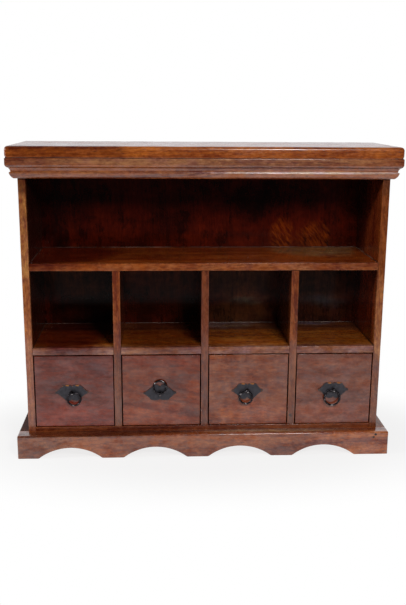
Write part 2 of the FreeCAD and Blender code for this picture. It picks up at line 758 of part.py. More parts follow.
back_left, back_right = back_planks()
pieces = {
    "left_side": case_side(-1),
    "right_side": case_side(1),
    "bottom_board": bottom_board(),
    "lower_shelf": lower_shelf(),
    "upper_shelf": upper_shelf(),
    "back_plank_left": back_left,
    "back_plank_right": back_right,
    "hanging_rail": hanging_rail(),
    "top_board": top_board(),
    "cornice_front": cornice_front(),
    "cornice_left": cornice_return(-1),
    "cornice_right": cornice_return(1),
    "plinth_front": plinth_front(),
    "plinth_left": plinth_return(-1),
    "plinth_right": plinth_return(1),
    "hanger_left": hanger_plate(-1),
    "hanger_right": hanger_plate(1),
    "hanger_screws": Part.makeCompound(hanger_screws()),
    "plinth_nails": Part.makeCompound(plinth_nails()),
    "back_nails": Part.makeCompound(back_nails()),
}
for number, x_middle in enumerate(divider_x, start=1):
    pieces[f"divider_{number}"] = divider(x_middle)
for drawer_index in range(drawer_count):
    pieces.update(drawer(drawer_index))

os.makedirs("parts", exist_ok=True)
for node, shape in pieces.items():
    shape.exportStep(f"parts/{node}.step")
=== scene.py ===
import math
from contextlib import contextmanager

import bpy
from bpy.props import FloatProperty, FloatVectorProperty, PointerProperty
from mathutils import Euler, Matrix, Vector


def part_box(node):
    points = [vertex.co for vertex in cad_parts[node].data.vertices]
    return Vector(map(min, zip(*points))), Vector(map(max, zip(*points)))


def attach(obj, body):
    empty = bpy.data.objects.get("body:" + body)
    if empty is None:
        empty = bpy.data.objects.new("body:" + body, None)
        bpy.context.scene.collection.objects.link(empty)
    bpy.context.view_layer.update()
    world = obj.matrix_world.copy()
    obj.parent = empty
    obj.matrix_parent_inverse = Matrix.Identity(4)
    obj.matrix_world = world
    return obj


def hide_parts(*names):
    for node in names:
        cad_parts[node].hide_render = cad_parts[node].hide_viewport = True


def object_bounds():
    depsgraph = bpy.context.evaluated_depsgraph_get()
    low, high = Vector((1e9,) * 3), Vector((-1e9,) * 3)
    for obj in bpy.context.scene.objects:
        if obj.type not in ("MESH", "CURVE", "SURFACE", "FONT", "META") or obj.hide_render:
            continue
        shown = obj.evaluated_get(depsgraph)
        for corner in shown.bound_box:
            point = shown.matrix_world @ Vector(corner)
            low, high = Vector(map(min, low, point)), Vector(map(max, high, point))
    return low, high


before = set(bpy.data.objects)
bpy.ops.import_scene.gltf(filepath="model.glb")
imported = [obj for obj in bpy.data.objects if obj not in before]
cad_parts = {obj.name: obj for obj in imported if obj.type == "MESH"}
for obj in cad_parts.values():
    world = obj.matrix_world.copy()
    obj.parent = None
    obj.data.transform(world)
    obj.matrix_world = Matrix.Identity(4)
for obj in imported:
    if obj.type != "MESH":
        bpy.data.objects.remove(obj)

bl_info = {
    "name": "Wall Shelf Dresser",
    "version": (1, 0, 0),
    "blender": (4, 5, 0),
    "location": "View3D > Sidebar > Wall Shelf",
    "description": "Finishes a wall shelf with four drawers: lacquered boards, iron pulls, stage",
    "category": "Object",
}

CAD_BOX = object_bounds()
DRAWERS = (1, 2, 3, 4)
FLOOR_DROP = 0.0002
MERGE = 0.000002
ORIGIN = (0.0, 0.0, 0.0)
HALF = (0.5, 0.5, 0.5)
WHITE = (1.0, 1.0, 1.0)

# Faces this flat become one, edges this sharp are filed, and softer edges are shaded smooth
FLAT_ANGLE = math.radians(0.3)
FILED_ANGLE = math.radians(35.0)
SMOOTH_ANGLE = math.radians(32.0)

# How far apart faces are cut so that they can waver, and the size of the waver or the dents
BOARD_STEP = 0.015
BOARD_WAVER = 0.035
IRON_STEP = 0.002
PLATE_DENT = 0.006
PIN_DENT = 0.003
RING_DENT = 0.005

# Lacquer in corners and joints: how far it stands out and up, and how far it runs into the joint
RUN_DEPTH = 0.0007
RUN_HEIGHT = 0.0012
RUN_SINK = 0.0006
RUN_TUCK = RUN_SINK / 4
RUN_INSET = 0.0012
RUN_WIDTH = 0.005
RUN_STEP = 0.01
RUN_WAVER = 0.05
RUN_UNEVEN = 0.00015

# Width of the strip that hands have rubbed along a wooden edge
WOOD_WEAR = 0.0012

# Faces of the case, in metres
BAY_FRONT = -0.0705
BAY_SIDE = 0.276
BAY_TOP = 0.4505
BAY_FLOOR = 0.046
BACK_FACE = 0.0845
DRAWER_FACE = -0.07
SIDE_EDGE = 0.283
FLOOR_FACE = 0.1805


# Patches in the wood, of stain or of painted light and shade: centre and reach in metres, and the tint
# there
def on_back(x, z, width, height, stain):
    return (x, BACK_FACE, z), (width, 0.02, height), stain


def on_drawer(x, z, width, height, stain):
    return (x, DRAWER_FACE, z), (width, 0.02, height), stain


def on_edge(x, z, height, stain):
    return (x, BAY_FRONT, z), (0.03, 0.01, height), stain


def on_floor(x, y, width, depth, stain, height=0.03):
    return (x, y, FLOOR_FACE), (width, depth, height), stain


# The top board darker towards its left end
TOP_LEFT_DARKER = (
    ((-0.215, -0.09, 0.492), (0.115, 0.09, 0.03), (0.66, 0.58, 0.6)),
)
# On the moulding: a greyer band on the upper round, a painted reflection of the pale floor, and a pale
# line along the top of the lower round, a painted highlight that is brighter on the right
CORNICE_SHEEN_AND_HIGHLIGHT = (
    ((0.0, -0.084, 0.477), (0.36, 0.03, 0.0075), (1.05, 1.7, 3.6)),
    ((0.0, -0.08, 0.4602), (0.9, 0.03, 0.0026), (1.1, 1.5, 2.4)),
    ((0.17, -0.08, 0.4604), (0.2, 0.03, 0.0021), (1.65, 3.5, 9.0)),
)
# On the back: a dark band at the left of the upper bay, painted shadow of the left side; a small darker
# patch high in the upper bay; greyer bands in the upper part of each hole, a painted sheen; darker low
# bands in the holes, painted shade, greyer in holes 3 and 4 as a painted sheen
BACK_SHADE_AND_SHEEN = (
    on_back(-0.258, 0.355, 0.034, 0.06, (0.42, 0.4, 0.5)),
    on_back(0.085, 0.40, 0.035, 0.035, (0.5, 0.5, 0.6)),
    on_back(-0.21, 0.27, 0.08, 0.05, (2.2, 7.0, 16.0)),
    on_back(-0.07, 0.27, 0.08, 0.045, (2.2, 6.0, 14.0)),
    on_back(0.075, 0.265, 0.08, 0.05, (3.0, 12.0, 30.0)),
    on_back(0.22, 0.26, 0.07, 0.055, (1.6, 6.0, 14.0)),
    on_back(-0.205, 0.198, 0.085, 0.036, (0.22, 0.3, 0.6)),
    on_back(-0.065, 0.198, 0.085, 0.03, (0.6, 0.8, 1.0)),
    on_back(0.075, 0.198, 0.085, 0.03, (0.9, 3.5, 7.0)),
    on_back(0.215, 0.2, 0.085, 0.034, (0.42, 1.4, 4.5)),
)
BACK_CROTCH = (
    on_back(0.143, 0.339, 0.023, 0.034, (3.0, 5.6, 1.9)),
    on_back(0.2, 0.337, 0.034, 0.03, (2.6, 4.8, 1.8)),
)
FIRST_DIVIDER_STAIN = (
    ((-0.14, BAY_FRONT, 0.1), (0.05, 0.05, 0.085), (0.58, 0.58, 1.0)),
)
THIRD_DIVIDER_STAINS = (
    ((0.14, BAY_FRONT, 0.1), (0.05, 0.05, 0.085), (0.77, 0.83, 1.35)),
    ((0.1425, BAY_FRONT, 0.0615), (0.003, 0.01, 0.004), (0.3, 0.25, 0.3)),
)
# Upper shelf: a greyer band along the right of its front edge; a grey patch at the back right of the
# floor, a painted reflection of the lamp; a darker patch at the left of the floor, painted shade
UPPER_SHELF_SHEEN_AND_SHADE = (
    ((0.15, BAY_FRONT, 0.312), (0.15, 0.01, 0.012), (1.0, 1.15, 1.6)),
    ((0.2, 0.06, 0.318), (0.085, 0.075, 0.02), (0.95, 2.2, 6.5)),
    ((-0.25, 0.02, 0.318), (0.14, 0.11, 0.02), (0.42, 0.21, 0.33)),
)
# Front edge of the left side: greyer low down, a painted sheen from the pale floor; lighter further up,
# painted light; darker at the top, painted shadow under the moulding
LEFT_EDGE_LIGHT_AND_SHADE = (
    on_edge(-SIDE_EDGE, 0.11, 0.09, (1.04, 1.25, 2.2)),
    on_edge(-SIDE_EDGE, 0.245, 0.075, (1.3, 1.55, 1.6)),
    on_edge(-SIDE_EDGE, 0.365, 0.08, (1.6, 2.5, 2.6)),
    on_edge(-SIDE_EDGE, 0.458, 0.04, (0.55, 0.55, 0.5)),
)
# Right side: its inner face darker high at the back, painted shade, and lighter low in the last hole,
# painted light; its front edge lighter and greyer in the middle and low down as a painted sheen, less blue
# higher up, and darker at the top as painted shadow under the moulding
RIGHT_SIDE_LIGHT_AND_SHADE = (
    ((0.277, 0.07, 0.38), (0.008, 0.06, 0.2), (0.3, 0.25, 0.3)),
    ((0.277, 0.02, 0.24), (0.008, 0.08, 0.07), (2.0, 1.5, 1.0)),
    on_edge(SIDE_EDGE, 0.225, 0.075, (1.95, 2.9, 3.3)),
    on_edge(SIDE_EDGE, 0.37, 0.09, (1.15, 1.15, 0.6)),
    on_edge(SIDE_EDGE, 0.458, 0.04, (0.6, 0.6, 0.6)),
    on_edge(SIDE_EDGE, 0.10, 0.08, (1.05, 1.15, 1.45)),
)
# Lower shelf: the floors of the first two holes darker; a darker band along the back of all the floors,
# painted shade; a lighter patch at the front of the third hole, painted light; greyer bands along the
# front edge and at the back of holes 3 and 4, painted reflections
LOWER_FLOOR_LIGHT_AND_SHADE = (
    on_floor(-0.225, 0.01, 0.085, 0.12, (0.44, 0.2, 0.25)),
    on_floor(-0.07, 0.01, 0.085, 0.12, (0.66, 0.5, 0.4)),
    on_floor(0.0, BACK_FACE, 1.2, 0.058, (0.42, 0.45, 1.2)),
    on_floor(0.07, -0.043, 0.085, 0.024, (1.5, 1.5, 1.6)),
    on_floor(0.05, -0.066, 0.5, 0.018, (1.07, 1.33, 2.3), 0.02),
    on_floor(0.05, 0.072, 0.055, 0.032, (1.1, 2.1, 5.0), 0.02),
    on_floor(0.2, 0.08, 0.045, 0.018, (1.0, 2.1, 6.0), 0.02),
)
# Plinth: its front darker at the left, painted shade, and lighter at the right, painted light; its ledge
# and top front edge darker at the left, painted shade; a grey strip on the ledge at the right, a painted
# reflection
PLINTH_LIGHT_AND_SHADE = (
    ((-0.275, -0.0925, 0.02), (0.07, 0.01, 0.04), (0.8, 0.85, 1.05)),
    ((0.25, -0.0925, 0.02), (0.09, 0.01, 0.04), (1.37, 1.48, 1.7)),
    ((-0.17, -0.081, 0.0395), (0.2, 0.0115, 0.004), (0.36, 0.34, 0.5)),
    ((-0.2, -0.0925, 0.0395), (0.13, 0.004, 0.004), (0.45, 0.4, 0.35)),
    ((0.13, -0.079, 0.0395), (0.14, 0.008, 0.003), (1.1, 2.4, 4.8)),
)

# Stain inside the bays where it isn't the plain one, and under thin and thick mist in the lacquer
DIM_WALL = (0.35, 0.28, 0.25)
WORN_FLOOR = (1.3, 1.15, 0.4)
MIST_THIN = (0.9, 0.7, 0.35)
MIST_THICK = (1.1, 1.28, 1.7)
BACK_TINT = (0.26, 0.085, 0.06)

# Figure of each board, as lacquered() and dark_stain() take it
CASE_FIGURES = {
    "left_side": dict(lie="upright", seed=1.7, tint=(1.1, 1.2, 1.5), bands=0.6, streaks=0.1,
                      inside=(0.115, 0.08, 0.1), patches=LEFT_EDGE_LIGHT_AND_SHADE),
    "right_side": dict(lie="upright", seed=2.53, tint=(0.72, 0.72, 0.85), bands=0.7, streaks=0.2,
                       inside=(0.9, 0.65, 0.45), patches=RIGHT_SIDE_LIGHT_AND_SHADE),
    "divider_1": dict(lie="upright", seed=3.36, tint=(1.15, 1.15, 1.0), streaks=0.2, inside=DIM_WALL,
                      patches=FIRST_DIVIDER_STAIN),
    "divider_2": dict(lie="upright", seed=4.19, tint=(0.62, 0.56, 0.8), inside=DIM_WALL),
    "divider_3": dict(lie="upright", seed=5.02, tint=(0.95, 0.95, 0.9), inside=DIM_WALL,
                      patches=THIRD_DIVIDER_STAINS),
    "bottom_board": dict(lie="flat", seed=5.85, tint=(0.8, 0.75, 0.8)),
    # The shelves' greyer tints stand in for the sheen that their low specular leaves out: painted sheen
    "lower_shelf": dict(lie="flat", seed=6.68, tint=(1.0, 1.35, 2.2), bands=0.6, coat=0.5, ripple=0.25,
                        inside=WORN_FLOOR, sleek=0.6, specular=0.3, mist=1.0, patches=LOWER_FLOOR_LIGHT_AND_SHADE),
    "upper_shelf": dict(lie="flat", seed=7.51, tint=(1.06, 1.15, 1.3), bands=0.5, coat=0.15, ripple=0.25,
                        inside=(1.1, 0.88, 0.42), sleek=0.6, specular=0.3, mist=1.0, patches=UPPER_SHELF_SHEEN_AND_SHADE),
}
BACK_FIGURES = {
    "back_plank_left": dict(lie="plank", seed=9.1),
    "back_plank_right": dict(lie="plank", seed=9.67, crotch=BACK_CROTCH),
    "hanging_rail": dict(lie="fronting", seed=10.24),
}
TOP_FIGURES = {
    "top_board": dict(lie="flat", seed=12.3, tint=(1.26, 1.28, 0.7), coat=0.26, specular=0.35,
                      patches=TOP_LEFT_DARKER),
    "cornice_front": dict(lie="fronting", seed=13.01, coat=0.8, patches=CORNICE_SHEEN_AND_HIGHLIGHT),
    "cornice_left": dict(lie="returning", seed=13.72),
    "cornice_right": dict(lie="returning", seed=14.43),
}
PLINTH_FIGURES = {
    "plinth_front": dict(lie="fronting", seed=15.9, coat=0.9),
    # The left end's dark tint is painted shade
    "plinth_left": dict(lie="returning", seed=16.54, tint=(0.3, 0.35, 0.55), coat=0.0, specular=0.02),
    "plinth_right": dict(lie="returning", seed=17.18, tint=(0.8, 0.85, 0.9), coat=0.1, specular=0.2),
}
# In each drawer's patches, the lighter band along the foot is painted light and sheen from the pale floor
DRAWER_FIGURES = {
    1: dict(seed=21.21, tint=(0.64, 0.38, 0.72), bands=0.4, streaks=0.1, contrast=0.75, patches=(
        on_drawer(-0.21, 0.167, 0.12, 0.009, (0.62, 0.34, 0.12)),
        on_drawer(-0.245, 0.115, 0.028, 0.016, (0.72, 0.75, 1.0)),
        on_drawer(-0.175, 0.145, 0.022, 0.014, (0.75, 0.7, 1.1)),
        on_drawer(-0.21, 0.058, 0.085, 0.034, (1.4, 1.3, 1.3)),
    )),
    2: dict(seed=22.12, tint=(0.74, 0.53, 0.45), bands=0.8, streaks=0.12, contrast=0.7,
            pith=(-0.01, 0.02), tilt=0.10, patches=(
        on_drawer(-0.037, 0.157, 0.036, 0.010, (1.15, 1.2, 0.9)),
        on_drawer(-0.018, 0.108, 0.012, 0.022, (1.3, 1.4, 1.1)),
        on_drawer(-0.07, 0.164, 0.12, 0.022, (0.92, 0.68, 0.3)),
        on_drawer(-0.026, 0.070, 0.020, 0.012, (0.66, 0.6, 0.8)),
        on_drawer(-0.08, 0.058, 0.075, 0.034, (1.35, 1.3, 1.2)),
    )),
    3: dict(seed=23.03, tint=(0.86, 0.84, 1.05), bands=0.35, streaks=0.1, contrast=0.9, curl=0.6, patches=(
        on_drawer(0.06, 0.163, 0.065, 0.005, (1.3, 1.35, 0.8)),
        on_drawer(0.035, 0.066, 0.018, 0.009, (1.35, 1.5, 1.1)),
        on_drawer(0.08, 0.058, 0.075, 0.034, (1.3, 1.25, 1.3)),
    )),
    4: dict(seed=23.94, tint=(0.76, 0.74, 1.15), bands=0.3, streaks=0.08, contrast=0.75, patches=(
        on_drawer(0.215, 0.058, 0.085, 0.034, (1.3, 1.25, 1.3)),
        on_drawer(0.215, 0.167, 0.12, 0.009, (0.75, 0.65, 0.55)),
    )),
}

# Layers of the grain: spots per metre along and across it, and the detail and roughness of their noise
GRAIN_LAYERS = {
    "cloud": (9.0, 22.0, 3.0, 0.6),
    "mottle": (95.0, 230.0, 4.0, 0.68),
    "curl": (150.0, 22.0, 1.0, 0.5),
    "fibre": (22.0, 520.0, 2.0, 0.5),
    "pore": (90.0, 1500.0, 1.0, 0.5),
    "fleck": (130.0, 430.0, 2.0, 0.5),
    "bruise": (34.0, 75.0, 3.0, 0.6),
    "heart": (7.0, 14.0, 2.0, 0.5),
    "mist": (38.0, 62.0, 6.0, 0.72),
}

# Worn spots on the plates, put where amber glints show on the upper lobes, partly wear and partly painted
# highlight: how far off the middle of the upper edge, how far below it, and their reach
WORN_GLINT_PLACES = {1: (-0.0072, 0.0088), 2: (0.0125,), 3: (-0.0068, 0.0082), 4: (-0.0062, 0.0092)}
WORN_DROP = 0.0008
WORN_GLINT_SPOT = (0.0036, 0.004, 0.0014)

# Polished spots on pins and rings, put where highlights show, partly wear and partly painted highlight:
# how far each lies from the middle of the lower edge, and their reach
POLISH_AND_HIGHLIGHT_PLACES = {
    "drawer_1_pin": ((-0.002, 0.0, 0.002), (0.0012, 0.0, 0.0028)),
    "drawer_2_pin": ((0.0, 0.0, 0.001),),
    "drawer_3_pin": ((0.0005, 0.0, 0.0025),),
    "drawer_4_pin": ((0.0012, 0.0, 0.0028),),
    "ring_1": ((-0.001, 0.0, 0.001),),
    "ring_2": ((-0.008, 0.0, 0.019), (0.006, 0.0, 0.022)),
    "ring_3": ((0.0, 0.0, 0.001), (-0.008, 0.0, 0.018)),
    "ring_4": ((-0.0005, 0.0, 0.001),),
}
POLISH_AND_HIGHLIGHT_SPOT = (0.0022, 0.006, 0.0018)

# How a board lies in the case: rows give the grain, the width and the face as frame directions
LIES = {
    "flat": Matrix(((1, 0, 0), (0, 1, 0), (0, 0, 1))),
    "fronting": Matrix(((1, 0, 0), (0, 0, 1), (0, -1, 0))),
    "upright": Matrix(((0, 0, 1), (0, 1, 0), (-1, 0, 0))),
    "plank": Matrix(((0, 0, 1), (1, 0, 0), (0, 1, 0))),
    "returning": Matrix(((0, 1, 0), (0, 0, 1), (1, 0, 0))),
}


def srgb(red, green, blue):
    """Linear colour from display values of 0 to 255."""
    shares = [value / 255 for value in (red, green, blue)]
    return tuple(s / 12.92 if s <= 0.04045 else ((s + 0.055) / 1.055) ** 2.4 for s in shares)


RUST = srgb(96, 52, 26)
RUN_COLOUR = srgb(34, 14, 9)
RUN_DUST = srgb(92, 70, 60)

# Stage: what gloss shows, the floor and its soft shadow, how far up the shelf the lamps point, the camera
BACKDROP = srgb(253, 252, 255)
ROOM_WALL = srgb(44, 42, 43)
ROOM_FLOOR = srgb(96, 93, 92)
FLOOR_MATT = (0.85, 0.85, 0.85)
FLOOR_BOUNCE = 0.6
SHADOW_NEAR = 0.13
SHADOW_FAR = 0.30
SHADOW_PLAIN = 0.8
LAMP_AIM = 0.75
SENSOR_WIDTH = 36.0


class WoodFinish(bpy.types.PropertyGroup):
    """Colours and gloss of the stained and lacquered wood."""

    pale: FloatVectorProperty(
        name="Pale wood", description="Lighter bands of the stained wood",
        subtype="COLOR", default=srgb(160, 84, 34), min=0.0, max=1.0,
    )
    deep: FloatVectorProperty(
        name="Deep wood", description="Darker bands of the stained wood",
        subtype="COLOR", default=srgb(98, 36, 16), min=0.0, max=1.0,
    )
    streak: FloatVectorProperty(
        name="Heart streaks", description="Red-brown streaks of heartwood",
        subtype="COLOR", default=srgb(70, 26, 22), min=0.0, max=1.0,
    )
    raw: FloatVectorProperty(
        name="Raw wood", description="Unstained wood of the drawer boxes",
        subtype="COLOR", default=srgb(150, 108, 72), min=0.0, max=1.0,
    )
    spacing: FloatProperty(
        name="Band spacing", description="Width of one band of the figure",
        unit="LENGTH", default=0.009, min=0.001,
    )
    gloss: FloatProperty(
        name="Lacquer roughness", description="Roughness of the lacquered surface",
        subtype="FACTOR", default=0.24, min=0.0, max=1.0,
    )
    ripple: FloatProperty(
        name="Lacquer ripple", description="Depth of the brushed lacquer's ripple",
        unit="LENGTH", default=0.0003, min=0.0,
    )
    inside: FloatVectorProperty(
        name="Inside stain", description="How much of the wood's colour shows inside the bays",
        subtype="COLOR", default=(0.085, 0.06, 0.1), min=0.0, max=1.0,
    )
    waver: FloatProperty(
        name="Waver", description="How far hand planing left the boards out of true",
        unit="LENGTH", default=0.0005, min=0.0,
    )


class IronFinish(bpy.types.PropertyGroup):
    """Colours and wear of the forged iron and the zinc plated steel."""

    black: FloatVectorProperty(
        name="Black iron", description="Oxide skin of the forged iron",
        subtype="COLOR", default=srgb(58, 56, 62), min=0.0, max=1.0,
    )
    rubbed: FloatVectorProperty(
        name="Rubbed iron", description="Iron that shows where the skin is worn off",
        subtype="COLOR", default=srgb(178, 116, 66), min=0.0, max=1.0,
    )
    polish: FloatVectorProperty(
        name="Polished iron", description="Iron of the rings, which hands keep bright",
        subtype="COLOR", default=srgb(150, 145, 146), min=0.0, max=1.0,
    )
    zinc: FloatVectorProperty(
        name="Zinc", description="Plating of the hangers and their screws",
        subtype="COLOR", default=srgb(186, 188, 190), min=0.0, max=1.0,
    )
    wear: FloatProperty(
        name="Worn edge", description="Width of the worn strip along an edge",
        unit="LENGTH", default=0.0006, min=0.0,
    )
    ease: FloatProperty(
        name="Eased edge", description="Width of the bevel that filing left on an edge",
        unit="LENGTH", default=0.0004, min=0.0,
    )
    hammer: FloatProperty(
        name="Hammer marks", description="Depth of the dents that the hammer left",
        unit="LENGTH", default=0.0003, min=0.0,
    )


class StageSetup(bpy.types.PropertyGroup):
    """Camera, light and floor."""

    camera_place: FloatVectorProperty(
        name="Camera place", description="Where the camera stands",
        subtype="TRANSLATION", default=(-0.0684, -1.3316, 0.5573),
    )
    camera_turn: FloatVectorProperty(
        name="Camera turn", description="Yaw to the right, pitch downwards and roll about the sight",
        subtype="EULER", default=[math.radians(angle) for angle in (2.9475, 13.478, -0.389)],
    )
    camera_lens: FloatProperty(
        name="Lens", description="Focal length in millimetres, for a long side of 36 mm",
        default=48.45, min=1.0,
    )
    key_place: FloatVectorProperty(
        name="Key place", description="Where the key lamp hangs, in front and a little to the right",
        subtype="TRANSLATION", default=(0.278, -1.114, 0.925),
    )
    key_power: FloatProperty(
        name="Key power", description="Power of the key lamp in watts", default=8.9, min=0.0,
    )
    key_size: FloatProperty(
        name="Key size", description="Side of the square key lamp",
        unit="LENGTH", default=0.28, min=0.01,
    )
    side_place: FloatVectorProperty(
        name="Side place", description="Where the side lamp stands, low and far to the left",
        subtype="TRANSLATION", default=(-1.40, -0.325, 0.67),
    )
    side_power: FloatProperty(
        name="Side power", description="Power of the side lamp in watts", default=10.0, min=0.0,
    )
    side_size: FloatProperty(
        name="Side size", description="Side of the square side lamp",
        unit="LENGTH", default=0.07, min=0.01,
    )
    sky: FloatProperty(
        name="Sky light", description="Strength of the even light from all round",
        default=0.10, min=0.0,
    )
    floor_width: FloatProperty(
        name="Floor width", description="Width of the white floor sheet",
        unit="LENGTH", default=2.6, min=0.1,
    )
    floor_front: FloatProperty(
        name="Floor front", description="How far the white floor sheet runs out in front",
        unit="LENGTH", default=0.72, min=0.1,
    )


class Wiring:
    """Short hand for placing and joining shader nodes in one tree."""

    def __init__(self, tree):
        self.tree = tree

    def node(self, kind, inputs=None, **settings):
        made = self.tree.nodes.new(f"ShaderNode{kind}")
        for key, value in settings.items():
            setattr(made, key, value)
        self.fill(made, inputs or {})
        return made

    def out(self, kind, inputs=None, output=0, **settings):
        """One output of a new node."""
        return self.node(kind, inputs, **settings).outputs[output]

    def fill(self, node, inputs):
        """Join sockets to a node's inputs, or set plain numbers, colours and vectors on them."""
        for key, value in inputs.items():
            socket = node.inputs[key]
            if isinstance(value, bpy.types.NodeSocket):
                self.tree.links.new(value, socket)
            elif socket.type == "RGBA":
                socket.default_value = (*tuple(value)[:3], 1.0)
            else:
                socket.default_value = value

    def math(self, operation, first, second=0.0, clamp=False):
        return self.out("Math", {0: first, 1: second}, operation=operation, use_clamp=clamp)

    def plus(self, first, second, clamp=False):
        return self.math("ADD", first, second, clamp)

    def less(self, first, second):
        return self.math("SUBTRACT", first, second)

    def times(self, first, second, clamp=False):
        return self.math("MULTIPLY", first, second, clamp)

    def swing(self, value, amount):
        """Let a value of 0 to 1 swing both ways, by the amount from end to end."""
        return self.times(self.less(value, 0.5), amount)

    def vector(self, operation, first, second=ORIGIN):
        output = "Value" if operation in ("LENGTH", "DOT_PRODUCT") else "Vector"
        return self.out("VectorMath", {0: first, 1: second}, output, operation=operation)

    def all_ways(self, value):
        """Vector with the same value along each axis."""
        return self.out("CombineXYZ", {"X": value, "Y": value, "Z": value})

    def noise(self, vector, scale=1.0, detail=2.0, rough=0.5, output="Fac"):
        inputs = {"Vector": vector, "Scale": scale, "Detail": detail, "Roughness": rough}
        return self.out("TexNoise", inputs, output)

    def stretched(self, place, stretch, detail=2.0, rough=0.5, output="Fac"):
        """Noise with its own scale along each axis."""
        return self.noise(self.vector("MULTIPLY", place, stretch), 1.0, detail, rough, output)

    def bands(self, place, detail=2.0, rough=0.5):
        inputs = {"W": place, "Scale": 1.0, "Detail": detail, "Roughness": rough}
        return self.out("TexNoise", inputs, "Fac", noise_dimensions="1D")

    def smooth(self, value, low, high, to_low=0.0, to_high=1.0):
        inputs = {"Value": value, "From Min": low, "From Max": high, "To Min": to_low, "To Max": to_high}
        return self.out("MapRange", inputs, "Result", interpolation_type="SMOOTHSTEP")

    def mix(self, share, first, second, mode="MIX"):
        inputs = {0: share, 6: first, 7: second}
        return self.out("Mix", inputs, 2, data_type="RGBA", blend_type=mode)

    def tint(self, colour, stain):
        return self.mix(1.0, colour, stain, "MULTIPLY")

    def shade(self, colour, value):
        """Darken or lighten a colour evenly."""
        grey = self.out("CombineColor", {"Red": value, "Green": value, "Blue": value})
        return self.tint(colour, grey)

    def group(self, build, inputs):
        return self.node("Group", inputs, node_tree=build()).outputs

    def patch(self, place, centre, reach):
        return self.group(stain_and_light_patch, {"Vector": place, "Centre": centre, "Reach": reach})["Mask"]

    def patched(self, place, colour, patches):
        """Tint a colour by the stain or painted light and shade of each patch."""
        for centre, reach, stain in patches:
            colour = self.mix(self.patch(place, centre, reach), colour, self.tint(colour, stain))
        return colour

    def bared(self, place, bare, spots):
        """Add spots to the mask of bare metal."""
        for centre, reach in spots:
            bare = self.math("MAXIMUM", bare, self.patch(place, centre, reach))
        return bare

    def bump(self, height, strength, distance, under=None):
        inputs = {"Strength": strength, "Distance": distance, "Height": height}
        if under is not None:
            inputs["Normal"] = under
        return self.out("Bump", inputs)


def node_group(*outputs, **inputs):
    """Make a function that wires a shader node group into one that builds the group once."""
    def kept(wire):
        def build():
            name = wire.__name__
            if name in bpy.data.node_groups:
                return bpy.data.node_groups[name]
            group = bpy.data.node_groups.new(name, "ShaderNodeTree")
            for label, default in inputs.items():
                kind = "Float" if isinstance(default, float) else {3: "Vector", 4: "Color"}[len(default)]
                socket = group.interface.new_socket(
                    name=label, in_out="INPUT", socket_type=f"NodeSocket{kind}"
                )
                socket.default_value = default
            for label in outputs:
                kind = "Color" if label == "Color" else "Float"
                group.interface.new_socket(
                    name=label, in_out="OUTPUT", socket_type=f"NodeSocket{kind}"
                )
            w = Wiring(group)
            given = group.nodes.new("NodeGroupInput").outputs
            w.fill(group.nodes.new("NodeGroupOutput"), wire(w, given))
            return group
        return build
    return kept


@node_group(
    "Color", "Relief", "Dryness", "Mist",
    Vector=ORIGIN, Seed=0.0, Pale=(0.3, 0.1, 0.04, 1.0), Deep=(0.1, 0.03, 0.01, 1.0),
    Streak=(0.03, 0.01, 0.01, 1.0), Spacing=0.014, Wander=0.03, Streaks=0.5, Curl=0.2, Bands=1.0,
)
def timber_grain(w, given):
    """Figure of sawn timber. The grain runs along X, and the tree's pith lies along Y = Z = 0."""
    seed = given["Seed"]
    place = w.vector("ADD", given["Vector"], w.all_ways(seed))
    layer = {
        name: w.stretched(place, (along, across, across), detail, rough)
        for name, (along, across, detail, rough) in GRAIN_LAYERS.items()
    }

    # Rings that wander along the trunk
    drift = w.stretched(place, (3.0, 9.0, 9.0), output="Color")
    drift = w.vector("SUBTRACT", drift, HALF)
    drift = w.vector("MULTIPLY", drift, w.all_ways(given["Wander"]))
    trunk = w.vector("MULTIPLY", w.vector("ADD", given["Vector"], drift), (0.0, 1.0, 1.0))
    ring = w.math("DIVIDE", w.vector("LENGTH", trunk), given["Spacing"])
    ring = w.plus(ring, w.times(seed, 37.0))
    broad = w.bands(ring, 3.0, 0.55)
    fine = w.bands(w.times(ring, 4.7), 2.0)

    # Bands, soft clouds of stain, mottling and cross-grain curl
    share = w.times(w.plus(w.swing(broad, 1.9), w.swing(fine, 0.8)), given["Bands"])
    for name, amount in (("cloud", 1.5), ("mottle", 2.1), ("curl", given["Curl"])):
        share = w.plus(share, w.swing(layer[name], amount))
    colour = w.mix(w.plus(share, 0.5, clamp=True), given["Deep"], given["Pale"])
    bruise = w.times(w.smooth(layer["bruise"], 0.46, 0.64), 0.55)
    colour = w.mix(bruise, colour, w.tint(colour, (0.85, 0.78, 1.3)))

    # Heart streaks that come and go along the board
    heart = w.bands(w.times(ring, 0.62), 4.0, 0.65)
    heart = w.smooth(w.plus(heart, w.times(layer["heart"], 0.5)), 0.80, 1.02)
    colour = w.mix(w.times(heart, given["Streaks"]), colour, given["Streak"])

    # Fibres, pores and flecks
    pore = w.smooth(layer["pore"], 0.60, 0.72)
    fleck = w.smooth(layer["fleck"], 0.56, 0.70)
    dark = w.plus(w.times(pore, 0.22), w.times(fleck, 0.3))
    dry = w.plus(w.times(layer["cloud"], 0.4), w.times(layer["mottle"], 0.6))
    return {
        "Color": w.shade(colour, w.less(w.smooth(layer["fibre"], 0.25, 0.75, 0.88, 1.1), dark)),
        "Relief": w.less(w.times(layer["fibre"], 0.5), pore),
        "Dryness": w.plus(dry, w.times(pore, 0.3)),
        "Mist": w.smooth(layer["mist"], 0.3, 0.7),
    }


@node_group("Height", Vector=ORIGIN, Seed=0.0)
def lacquer_ripple(w, given):
    """Slow waves that a brush and a hand plane leave in the lacquer."""
    place = w.vector("ADD", given["Vector"], w.all_ways(given["Seed"]))
    wave = w.stretched(place, (14.0, 45.0, 45.0), 1.0)
    brush = w.stretched(place, (30.0, 240.0, 240.0), 1.0)
    return {"Height": w.plus(wave, w.times(brush, 0.12))}


